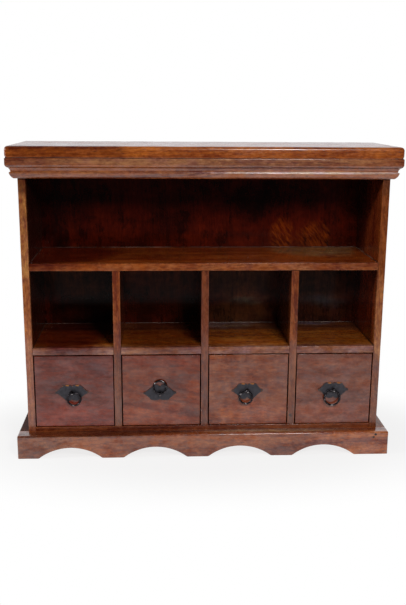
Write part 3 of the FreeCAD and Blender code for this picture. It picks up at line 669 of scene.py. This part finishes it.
@node_group("Mask", Vector=ORIGIN, Width=0.0012, Patchiness=120.0)
def rubbed_edges(w, given):
    """Mask of the arrises that hands and cloths have rubbed."""
    turned = w.out("Bevel", {"Radius": given["Width"]}, samples=4)
    true_normal = w.out("NewGeometry", output="True Normal")
    edge = w.smooth(w.less(1.0, w.vector("DOT_PRODUCT", turned, true_normal)), 0.02, 0.22)
    patch = w.smooth(w.noise(given["Vector"], given["Patchiness"]), 0.35, 0.6)
    return {"Mask": w.times(edge, patch)}


@node_group("Mask", Vector=ORIGIN)
def shut_in(w, given):
    """Mask of the surfaces inside the bays, which no cloth has rubbed bright."""
    place = w.node("SeparateXYZ", {0: given["Vector"]}).outputs
    within = w.smooth(place["Y"], BAY_FRONT + 0.001, BAY_FRONT + 0.014)
    across = w.smooth(w.math("ABSOLUTE", place["X"]), BAY_SIDE + 0.0008, BAY_SIDE + 0.0016, 1.0, 0.0)
    below = w.smooth(place["Z"], BAY_TOP - 0.0002, BAY_TOP + 0.0008, 1.0, 0.0)
    above = w.smooth(place["Z"], BAY_FLOOR - 0.0008, BAY_FLOOR - 0.0002)
    return {"Mask": w.times(w.times(within, across), w.times(below, above))}


@node_group("Mask", Vector=ORIGIN, Centre=ORIGIN, Reach=(0.01, 0.01, 0.01), Ragged=0.8)
def stain_and_light_patch(w, given):
    """Mask of one ragged patch, such as a pale band, a cloud of stain, a knot, or painted light or shade.
    """
    offset = w.vector("SUBTRACT", given["Vector"], given["Centre"])
    offset = w.vector("DIVIDE", offset, given["Reach"])
    torn = w.swing(w.stretched(offset, (1.7, 1.7, 1.7), 4.0, 0.65), given["Ragged"])
    return {"Mask": w.smooth(w.plus(w.vector("LENGTH", offset), torn), 0.55, 1.1, 1.0, 0.0)}


@node_group("Mask", Vector=ORIGIN)
def crotch_feather(w, given):
    """Mask of the feathered figure where a branch left the trunk, as streaks that slant down."""
    bend = w.vector("SUBTRACT", w.noise(given["Vector"], 42.0, 6.0, output="Color"), HALF)
    place = w.vector("ADD", given["Vector"], w.vector("MULTIPLY", bend, (0.009, 0.0, 0.009)))
    along = w.vector("DOT_PRODUCT", place, (0.59, 0.0, -0.81))
    across = w.vector("DOT_PRODUCT", place, (0.81, 0.0, 0.59))
    slant = w.out("CombineXYZ", {"X": along, "Y": across})
    return {"Mask": w.smooth(w.stretched(slant, (40.0, 210.0, 1.0), 5.0, 0.72), 0.38, 0.7, 0.0, 0.85)}


def bare_tree(owner):
    """Wiring of a material or world whose nodes are cleared away."""
    owner.use_nodes = True
    owner.node_tree.nodes.clear()
    return Wiring(owner.node_tree)


def fresh_material(name):
    """Empty material with its wiring, its surface shader and its object coordinates."""
    material = bpy.data.materials.new(name)
    w = bare_tree(material)
    shader = w.node("BsdfPrincipled")
    w.node("OutputMaterial", {"Surface": shader.outputs[0]})
    return material, w, shader, w.out("TexCoord", output="Object")


def tinted(colour, tint):
    return tuple(c * t for c, t in zip(colour, tint))


def board_place(w, place, middle, lie, tilt, skew, pith):
    """Coordinates along, across and through a board, with the pith so far off the board's middle."""
    turn = Euler((0.0, tilt, skew)).to_matrix() @ LIES[lie]
    offset = Vector((0.0, *pith)) - turn @ middle
    return w.out("Mapping", {"Vector": place, "Location": offset, "Rotation": turn.to_euler()})


def lacquered(name, middle, lie, seed, tint=WHITE, pith=(0.02, 0.05), tilt=0.03,
              streaks=0.25, curl=0.2, bands=1.0, contrast=1.0, coat=0.45, ripple=1.0,
              patches=(), inside=None, sleek=0.0, specular=0.5, mist=0.0):
    """Stained and lacquered board: grain by the way it lies, pith so far off the board's middle."""
    wood = bpy.context.scene.shelf_wood
    material, w, shader, place = fresh_material(name)
    board = board_place(w, place, middle, lie, tilt, tilt / 2, pith)
    mean = (Vector(wood.pale) + Vector(wood.deep)) / 2
    grain = w.group(timber_grain, {
        "Vector": board, "Seed": seed, "Pale": tinted(mean.lerp(wood.pale, contrast), tint),
        "Deep": tinted(mean.lerp(wood.deep, contrast), tint), "Streak": tinted(wood.streak, tint),
        "Spacing": wood.spacing, "Streaks": streaks, "Curl": curl, "Bands": bands,
    })
    veil = w.mix(grain["Mist"], MIST_THIN, MIST_THICK)
    colour = w.patched(place, w.mix(mist, grain["Color"], veil, "MULTIPLY"), patches)
    shut = w.group(shut_in, {"Vector": place})["Mask"]
    colour = w.mix(shut, colour, w.tint(colour, inside or wood.inside))
    edge = w.group(rubbed_edges, {"Vector": place, "Width": WOOD_WEAR, "Patchiness": 60.0})["Mask"]
    rough = w.smooth(grain["Dryness"], 0.25, 0.75, wood.gloss * 0.75, wood.gloss * 1.4)
    thin = w.less(1.0, w.times(shut, sleek))
    brushed = w.group(lacquer_ripple, {"Vector": board, "Seed": seed})["Height"]
    waves = w.bump(brushed, 1.0, wood.ripple * ripple)
    w.fill(shader, {
        "Base Color": w.mix(w.times(edge, 0.35), colour, tinted(wood.pale, tint)),
        "Roughness": w.times(rough, thin),
        "Coat Roughness": 0.1,
        "Specular IOR Level": specular,
        "Normal": w.bump(grain["Relief"], 0.5 * ripple, 0.00005, waves),
    })
    if coat:
        thick = w.times(grain["Mist"], 2.0 * coat, clamp=True)
        w.fill(shader, {"Coat Weight": w.times(thick, thin)})
    return material


def dark_stain(name, middle, lie, seed, crotch=()):
    """Dark stain in strokes under lacquer, with a feathered crotch where one is given."""
    wood = bpy.context.scene.shelf_wood
    material, w, shader, place = fresh_material(name)
    board = board_place(w, place, middle, lie, 0.03, 0.015, (0.02, 0.05))
    pale = tinted(wood.pale, BACK_TINT)
    grain = w.group(timber_grain, {
        "Vector": board, "Seed": seed, "Pale": tinted(pale, (0.9, 0.8, 0.8)),
        "Deep": tinted(pale, (0.5, 0.4, 0.5)), "Streak": tinted(pale, (0.3, 0.25, 0.3)),
        "Spacing": wood.spacing * 2, "Wander": 0.06, "Streaks": 0.5, "Curl": 0.5,
    })
    blotch = w.smooth(w.stretched(place, (17.0, 5.0, 24.0), 5.0, 0.62), 0.32, 0.66, 0.45, 1.35)
    stroke = w.smooth(w.stretched(place, (75.0, 5.0, 26.0), 5.0, 0.66), 0.53, 0.64)
    blotch = w.times(blotch, w.less(1.0, w.times(stroke, 0.5)))
    # The back's patches lay painted shade and painted sheen over the stained strokes
    colour = w.patched(place, w.shade(grain["Color"], blotch), BACK_SHADE_AND_SHEEN)
    for centre, reach, stain in crotch:
        feather = w.group(crotch_feather, {"Vector": place})["Mask"]
        share = w.times(w.patch(place, centre, reach), feather)
        colour = w.mix(share, colour, tinted(pale, stain))
    w.fill(shader, {
        "Base Color": colour,
        "Roughness": w.smooth(grain["Dryness"], 0.25, 0.75, 0.08, 0.14),
        "Specular IOR Level": 0.4,
        "Normal": w.bump(grain["Relief"], 0.4, 0.00004),
    })
    return material


def run_lacquer(name):
    """Lacquer that has run together, dusty in places."""
    material, w, shader, place = fresh_material(name)
    dust = w.smooth(w.noise(place, 24.0, 4.0, 0.65), 0.44, 0.66)
    w.fill(shader, {
        "Base Color": w.mix(dust, RUN_COLOUR, RUN_DUST),
        "Roughness": w.smooth(w.noise(place, 30.0, 5.0, 0.7), 0.36, 0.6, 0.22, 0.6),
        "Specular IOR Level": 0.3,
        "Normal": w.bump(w.noise(place, 60.0), 0.5, 0.0004),
    })
    return material


def raw_wood(name, middle, lie, seed):
    """Plain planed wood with no lacquer, as inside a drawer."""
    wood = bpy.context.scene.shelf_wood
    material, w, shader, place = fresh_material(name)
    grain = w.group(timber_grain, {
        "Vector": board_place(w, place, middle, lie, 0.03, 0.02, (0.03, 0.06)), "Seed": seed,
        "Pale": wood.raw, "Deep": tinted(wood.raw, (0.62, 0.55, 0.48)),
        "Streak": tinted(wood.raw, (0.3, 0.24, 0.2)), "Spacing": wood.spacing,
        "Streaks": 0.4, "Curl": 0.1,
    })
    w.fill(shader, {
        "Base Color": grain["Color"],
        "Roughness": w.smooth(grain["Dryness"], 0.2, 0.8, 0.55, 0.75),
        "Normal": w.bump(grain["Relief"], 0.6, 0.0001),
    })
    return material


def forged_iron(name, tone=WHITE, spots=()):
    """Black oxide skin with hammer clouds, a little rust, worn edges and spots worn to the metal."""
    iron = bpy.context.scene.shelf_iron
    material, w, shader, place = fresh_material(name)
    black = tinted(iron.black, tone)
    cloud = w.noise(place, 210.0, 3.0, 0.6)
    skin = w.mix(
        w.smooth(cloud, 0.3, 0.7), tinted(black, (0.6, 0.6, 0.62)), tinted(black, (1.3, 1.3, 1.3))
    )
    rust = w.smooth(w.noise(place, 140.0, 4.0, 0.7), 0.60, 0.72)
    skin = w.mix(w.times(rust, 0.35), skin, tinted(RUST, tone))
    edge = w.group(rubbed_edges, {"Vector": place, "Width": iron.wear, "Patchiness": 260.0})["Mask"]
    bare = w.bared(place, edge, spots)
    w.fill(shader, {
        "Base Color": w.mix(bare, skin, iron.rubbed),
        "Metallic": w.plus(0.45, w.times(bare, 0.4)),
        "Roughness": w.smooth(cloud, 0.3, 0.7, 0.38, 0.55),
        "Normal": w.bump(w.plus(cloud, w.times(w.noise(place, 900.0), 0.3)), 0.5, 0.0003),
    })
    return material


def polished_iron(name, spots):
    """Black iron that hands have polished in clouds and in spots; the spots are put where highlights show,
    partly painted highlight.
    """
    iron = bpy.context.scene.shelf_iron
    material, w, shader, place = fresh_material(name)
    cloud = w.noise(place, 260.0, 3.0, 0.6)
    bare = w.bared(place, w.times(w.smooth(cloud, 0.5, 0.72), 0.45), spots)
    w.fill(shader, {
        "Base Color": w.mix(bare, tinted(iron.black, (0.55, 0.5, 0.48)), iron.polish),
        "Metallic": 1.0,
        "Roughness": w.smooth(cloud, 0.3, 0.7, 0.42, 0.26),
        "Normal": w.bump(cloud, 0.4, 0.0002),
    })
    return material


def zinc_plate(name):
    """Spangled zinc on steel."""
    zinc = bpy.context.scene.shelf_iron.zinc
    material, w, shader, place = fresh_material(name)
    flake = w.out("TexVoronoi", {"Vector": place, "Scale": 380.0}, "Color")
    tone = w.out("SeparateColor", {"Color": flake})
    w.fill(shader, {
        "Base Color": w.mix(tone, tinted(zinc, (0.7, 0.7, 0.72)), zinc),
        "Metallic": 1.0,
        "Roughness": w.smooth(tone, 0.0, 1.0, 0.28, 0.42),
    })
    return material


def wear_finish(node, material):
    """Give a CAD node one material on all its slots."""
    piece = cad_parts[node]
    if not piece.material_slots:
        piece.data.materials.append(material)
    for holder in piece.material_slots:
        holder.material = material


def middle_of(node):
    low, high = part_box(node)
    return (low + high) / 2


def pick_only(piece):
    """Select one object alone and make it the active one."""
    bpy.ops.object.select_all(action="DESELECT")
    piece.select_set(True)
    bpy.context.view_layer.objects.active = piece


@contextmanager
def editing(piece):
    """Edit the whole mesh of a piece, then go back to object mode."""
    pick_only(piece)
    bpy.ops.object.mode_set(mode="EDIT")
    bpy.ops.mesh.select_all(action="SELECT")
    yield
    bpy.ops.object.mode_set(mode="OBJECT")


def copied(node):
    """New piece on the merged mesh of a CAD node."""
    piece = bpy.data.objects.new(f"{node}_worked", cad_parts[node].data.copy())
    bpy.context.scene.collection.objects.link(piece)
    piece.data.materials.clear()
    with editing(piece):
        bpy.ops.mesh.remove_doubles(threshold=MERGE)
        bpy.ops.mesh.customdata_custom_splitnormals_clear()
        bpy.ops.mesh.dissolve_limited(angle_limit=FLAT_ANGLE)
    return piece


def sliced(piece, step):
    """Cut a piece across each axis every so far, so that its faces can waver."""
    spans = [(min(row), max(row)) for row in zip(*(vertex.co[:] for vertex in piece.data.vertices))]
    with editing(piece):
        for facing, (low, high) in zip(Matrix.Identity(3), spans):
            parts = round((high - low) / step)
            for cut in range(1, parts):
                spot = facing * (low + (high - low) * cut / parts)
                bpy.ops.mesh.select_all(action="SELECT")
                bpy.ops.mesh.bisect(plane_co=spot, plane_no=facing)


def modified(piece, kind, **settings):
    """Add a modifier to a piece and apply it."""
    pick_only(piece)
    made = piece.modifiers.new(kind, kind)
    for key, value in settings.items():
        setattr(made, key, value)
    bpy.ops.object.modifier_apply(modifier=made.name)


def wavered(piece, depth, scale):
    """Let the faces of a piece sink unevenly, by no more than the depth."""
    clouds = bpy.data.textures.new(f"{piece.name}_waver", "CLOUDS")
    clouds.noise_scale = scale
    clouds.noise_depth = 1
    modified(piece, "DISPLACE", texture=clouds, texture_coords="LOCAL", mid_level=1.0, strength=depth)


def settled(piece, body, material):
    """Finish a piece and let it ride on its body."""
    piece.data.materials.append(material)
    pick_only(piece)
    bpy.ops.object.shade_smooth_by_angle(angle=SMOOTH_ANGLE)
    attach(piece, body)


def planed_board(node, body, material):
    """Board planed by hand: a softly uneven copy of its CAD node."""
    piece = copied(node)
    sliced(piece, BOARD_STEP)
    wavered(piece, bpy.context.scene.shelf_wood.waver, BOARD_WAVER)
    settled(piece, body, material)
    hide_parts(node)


def case_boards(figures, **shared):
    """Boards of the case, each planed and lacquered with its own figure."""
    for node, figure in figures.items():
        finish = lacquered(f"{node}_lacquer", middle_of(node), **shared, **figure)
        planed_board(node, "case", finish)


def forged(node, body, material, dent):
    """Iron shaped under the hammer: a dented copy of its CAD node with filed edges."""
    iron = bpy.context.scene.shelf_iron
    piece = copied(node)
    modified(piece, "BEVEL", width=iron.ease, segments=2, angle_limit=FILED_ANGLE)
    sliced(piece, IRON_STEP)
    wavered(piece, iron.hammer, dent)
    settled(piece, body, material)
    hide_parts(node)


def corner_run(low, high, out):
    """Thin wedge of lacquer along a corner: a bar cut off aslant above its outer foot, and left uneven."""
    low, high = Vector(low), Vector(high)
    foot = (high.x if out.x > 0.0 else low.x, low.y, low.z)
    facing = out * RUN_HEIGHT + Vector((0.0, 0.0, RUN_DEPTH))
    bpy.ops.object.select_all(action="DESELECT")
    bpy.ops.mesh.primitive_cube_add(size=1.0, location=(low + high) / 2, scale=high - low)
    piece = bpy.context.object
    bpy.ops.object.transform_apply()
    with editing(piece):
        bpy.ops.mesh.bisect(
            plane_co=foot, plane_no=facing.normalized(), use_fill=True, clear_outer=True, threshold=MERGE
        )
    sliced(piece, RUN_STEP)
    wavered(piece, RUN_UNEVEN, RUN_WAVER)
    return piece


class SHELF_OT_case_boards(bpy.types.Operator):
    """Plane and lacquer the sides, shelves, dividers and the bottom board."""

    bl_idname = "shelf.case_boards"
    bl_label = "Case boards"

    def execute(self, context):
        case_boards(CASE_FIGURES)
        return {"FINISHED"}


class SHELF_OT_back_planks(bpy.types.Operator):
    """Stain the back planks and the hanging rail."""

    bl_idname = "shelf.back_planks"
    bl_label = "Back planks"

    def execute(self, context):
        for node, figure in BACK_FIGURES.items():
            wear_finish(node, dark_stain(f"{node}_stain", middle_of(node), **figure))
        return {"FINISHED"}


class SHELF_OT_corner_lacquer(bpy.types.Operator):
    """Let lacquer run into the corners along the shelf floors and under the top."""

    bl_idname = "shelf.corner_lacquer"
    bl_label = "Corner lacquer"

    def execute(self, context):
        to_left, to_right, to_front = Vector((-1, 0, 0)), Vector((1, 0, 0)), Vector((0, -1, 0))
        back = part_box("back_plank_left")[0].y
        left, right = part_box("left_side")[1].x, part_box("right_side")[0].x
        floors = {"upper_shelf": [], "lower_shelf": ["divider_1", "divider_2", "divider_3"]}
        spans = []
        for node, walls in floors.items():
            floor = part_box(node)[1].z
            foot, crest = floor - RUN_SINK, floor + RUN_HEIGHT
            stops = [left, *(corner.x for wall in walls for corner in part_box(wall)), right]
            for start, end in zip(stops[::2], stops[1::2]):
                spans.append(((start, back - RUN_DEPTH, foot), (end, back + RUN_TUCK, crest), to_front))
            spans += [
                ((left - RUN_TUCK, BAY_FRONT, foot), (left + RUN_DEPTH, back, crest), to_right),
                ((right - RUN_DEPTH, BAY_FRONT, foot), (right + RUN_TUCK, back, crest), to_left),
            ]
        low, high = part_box("cornice_front")
        foot, crest = high.z - RUN_SINK, high.z + RUN_HEIGHT
        left, right = low.x + RUN_INSET, high.x - RUN_INSET
        front, rear = low.y + RUN_INSET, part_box("cornice_left")[1].y
        spans += [
            ((left, front, foot), (right, front + RUN_WIDTH, crest), to_front),
            ((left, front, foot), (left + RUN_WIDTH, rear, crest), to_left),
            ((right - RUN_WIDTH, front, foot), (right, rear, crest), to_right),
        ]
        runs = [corner_run(*span) for span in spans]
        pick_only(runs[0])
        for run in runs[1:]:
            run.select_set(True)
        bpy.ops.object.join()
        piece = context.object
        piece.name = "corner_lacquer"
        settled(piece, "case", run_lacquer("corner_lacquer"))
        return {"FINISHED"}


class SHELF_OT_top_and_moulding(bpy.types.Operator):
    """Plane and lacquer the top board and the moulding under it."""

    bl_idname = "shelf.top_and_moulding"
    bl_label = "Top and moulding"

    def execute(self, context):
        case_boards(TOP_FIGURES)
        return {"FINISHED"}


class SHELF_OT_plinth(bpy.types.Operator):
    """Plane and lacquer the scalloped plinth."""

    bl_idname = "shelf.plinth"
    bl_label = "Plinth"

    def execute(self, context):
        case_boards(PLINTH_FIGURES, mist=0.7, patches=PLINTH_LIGHT_AND_SHADE)
        return {"FINISHED"}


class SHELF_OT_drawer_fronts(bpy.types.Operator):
    """Plane and lacquer the drawer fronts."""

    bl_idname = "shelf.drawer_fronts"
    bl_label = "Drawer fronts"

    def execute(self, context):
        for number, figure in DRAWER_FIGURES.items():
            node = f"drawer_{number}_front"
            finish = lacquered(f"{node}_lacquer", middle_of(node), "fronting", mist=1.0, **figure)
            planed_board(node, f"drawer_{number}", finish)
        return {"FINISHED"}


class SHELF_OT_drawer_boxes(bpy.types.Operator):
    """Plane the boards of the drawer boxes."""

    bl_idname = "shelf.drawer_boxes"
    bl_label = "Drawer boxes"

    def execute(self, context):
        lies = {"left_side": "returning", "right_side": "returning", "back": "fronting", "bottom": "flat"}
        for number in DRAWERS:
            for step, (part, lie) in enumerate(lies.items()):
                node = f"drawer_{number}_{part}"
                wear_finish(node, raw_wood(f"{node}_planed", middle_of(node), lie, number + 0.37 * step))
        return {"FINISHED"}


class SHELF_OT_pulls(bpy.types.Operator):
    """Forge the plates, pins and rings of the pulls."""

    bl_idname = "shelf.pulls"
    bl_label = "Pulls"

    def execute(self, context):
        for number in DRAWERS:
            drawer, ring = f"drawer_{number}", f"ring_{number}"
            plate, pin = f"{drawer}_plate", f"{drawer}_pin"
            low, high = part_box(plate)
            crown = Vector(((low.x + high.x) / 2, low.y, high.z))
            spots = [(crown + Vector((x, 0.0, -WORN_DROP)), WORN_GLINT_SPOT) for x in WORN_GLINT_PLACES[number]]
            forged(plate, drawer, forged_iron(f"{plate}_iron", spots=spots), PLATE_DENT)
            for node, body, dent in ((pin, drawer, PIN_DENT), (ring, ring, RING_DENT)):
                low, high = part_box(node)
                foot = Vector(((low.x + high.x) / 2, low.y, low.z))
                spots = [(foot + Vector(place), POLISH_AND_HIGHLIGHT_SPOT) for place in POLISH_AND_HIGHLIGHT_PLACES[node]]
                forged(node, body, polished_iron(f"{node}_iron", spots), dent)
        return {"FINISHED"}


class SHELF_OT_nails(bpy.types.Operator):
    """Blacken the tacks and nails."""

    bl_idname = "shelf.nails"
    bl_label = "Nails"

    def execute(self, context):
        iron = forged_iron("nail_iron", tone=(0.7, 0.68, 0.66))
        for node in (*(f"drawer_{number}_nails" for number in DRAWERS), "plinth_nails", "back_nails"):
            wear_finish(node, iron)
        return {"FINISHED"}


class SHELF_OT_hangers(bpy.types.Operator):
    """Plate the keyhole hangers and their screws."""

    bl_idname = "shelf.hangers"
    bl_label = "Hangers"

    def execute(self, context):
        zinc = zinc_plate("zinc_plate")
        for node in ("hanger_left", "hanger_right", "hanger_screws"):
            wear_finish(node, zinc)
        return {"FINISHED"}


def floor_paint(name):
    """White floor: plain to the eye and in reflections, but it keeps a soft shadow near the shelf."""
    material = bpy.data.materials.new(name)
    w = bare_tree(material)
    path = w.node("LightPath").outputs
    seen = w.math("MAXIMUM", path["Is Camera Ray"], path["Is Glossy Ray"])
    seen = w.math("MAXIMUM", seen, path["Is Transmission Ray"])
    place = w.out("TexCoord", output="Object")
    away = w.vector("LENGTH", w.vector("MULTIPLY", place, (0.5, 1.0, 0.0)))
    plain = w.smooth(away, SHADOW_NEAR, SHADOW_FAR, SHADOW_PLAIN, 1.0)
    share = w.plus(w.times(seen, plain), w.times(path["Is Diffuse Ray"], FLOOR_BOUNCE))
    matt = w.out("BsdfDiffuse", {"Color": FLOOR_MATT})
    bright = w.out("Emission", {"Color": WHITE, "Strength": 1.0})
    w.node("OutputMaterial", {"Surface": w.out("MixShader", {0: share, 1: matt, 2: bright})})
    return material


def light_the_world(strength):
    """Even light; the eye sees white, and gloss sees a pale backdrop behind and a dim room in front."""
    world = bpy.data.worlds.new("studio")
    bpy.context.scene.world = world
    w = bare_tree(world)

    def background(colour, power):
        return w.out("Background", {"Color": colour, "Strength": power})

    path = w.node("LightPath").outputs
    facing = w.node("SeparateXYZ", {0: w.out("TexCoord", output="Generated")}).outputs
    behind = w.smooth(facing["Y"], -0.1, 0.35)
    low = w.smooth(facing["Z"], -0.21, -0.16, 1.0, 0.0)
    room = background(w.mix(behind, w.mix(low, ROOM_WALL, ROOM_FLOOR), BACKDROP), 1.0)
    glossy = w.math("MAXIMUM", path["Is Glossy Ray"], path["Is Transmission Ray"])
    light = w.out("MixShader", {0: glossy, 1: background(WHITE, strength), 2: room})
    shown = w.out("MixShader", {0: path["Is Camera Ray"], 1: light, 2: background(WHITE, 1.0)})
    w.node("OutputWorld", {"Surface": shown})


def aim_camera(camera, place, yaw, pitch, roll):
    """Stand the camera at a place, turned right by yaw, down by pitch and about its sight by roll."""
    ahead = Vector((math.sin(yaw) * math.cos(pitch), math.cos(yaw) * math.cos(pitch), -math.sin(pitch)))
    level = Vector((math.cos(yaw), -math.sin(yaw), 0.0))
    below = ahead.cross(level)
    right = level * math.cos(roll) + below * math.sin(roll)
    up = level * math.sin(roll) - below * math.cos(roll)
    axes = Matrix((right, up, -ahead)).transposed().to_4x4()
    camera.matrix_world = Matrix.Translation(place) @ axes


def hang_lamp(name, place, power, size):
    """Square soft lamp at a place, turned to the shelf."""
    aim = Vector((0.0, CAD_BOX[0].y, LAMP_AIM * CAD_BOX[1].z))
    bpy.ops.object.light_add(type="AREA", location=place)
    lamp = bpy.context.object
    lamp.name = name
    lamp.rotation_euler = (aim - Vector(place)).to_track_quat("-Z", "Y").to_euler()
    lamp.data.energy = power
    lamp.data.size = size


class SHELF_OT_stage(bpy.types.Operator):
    """Lay the floor, set the lamps and stand the camera."""

    bl_idname = "shelf.stage"
    bl_label = "Stage"

    def execute(self, context):
        stage = context.scene.shelf_stage
        bpy.ops.object.select_all(action="DESELECT")
        middle = (stage.floor_width / 2 - stage.floor_front, -FLOOR_DROP)
        bpy.ops.mesh.primitive_plane_add(size=stage.floor_width, location=(0.0, *middle))
        bpy.ops.object.transform_apply()
        floor = context.object
        floor.name = "floor"
        floor.data.materials.append(floor_paint("floor_white"))
        hang_lamp("key_lamp", stage.key_place, stage.key_power, stage.key_size)
        hang_lamp("side_lamp", stage.side_place, stage.side_power, stage.side_size)
        light_the_world(stage.sky)

        bpy.ops.object.camera_add()
        camera = context.object
        camera.name = "photo_camera"
        camera.data.lens = stage.camera_lens
        camera.data.sensor_width = SENSOR_WIDTH
        aim_camera(camera, Vector(stage.camera_place), *stage.camera_turn)
        context.scene.camera = camera
        context.scene.view_settings.view_transform = "Standard"
        return {"FINISHED"}


STEPS = (
    SHELF_OT_case_boards,
    SHELF_OT_back_planks,
    SHELF_OT_corner_lacquer,
    SHELF_OT_top_and_moulding,
    SHELF_OT_plinth,
    SHELF_OT_drawer_fronts,
    SHELF_OT_drawer_boxes,
    SHELF_OT_pulls,
    SHELF_OT_nails,
    SHELF_OT_hangers,
    SHELF_OT_stage,
)


class SHELF_PT_dresser(bpy.types.Panel):
    """The steps that dress the shelf, in order."""

    bl_idname = "SHELF_PT_dresser"
    bl_label = "Wall Shelf"
    bl_space_type = "VIEW_3D"
    bl_region_type = "UI"
    bl_category = "Wall Shelf"

    def draw(self, context):
        for step in STEPS:
            self.layout.operator(step.bl_idname)


CLASSES = (WoodFinish, IronFinish, StageSetup, *STEPS, SHELF_PT_dresser)


def register():
    for part in CLASSES:
        bpy.utils.register_class(part)
    bpy.types.Scene.shelf_wood = PointerProperty(type=WoodFinish)
    bpy.types.Scene.shelf_iron = PointerProperty(type=IronFinish)
    bpy.types.Scene.shelf_stage = PointerProperty(type=StageSetup)


def unregister():
    del bpy.types.Scene.shelf_stage
    del bpy.types.Scene.shelf_iron
    del bpy.types.Scene.shelf_wood
    for part in reversed(CLASSES):
        bpy.utils.unregister_class(part)


def main():
    register()
    for step in STEPS:
        family, action = step.bl_idname.split(".")
        getattr(getattr(bpy.ops, family), action)()


if __name__ == "__main__":
    main()
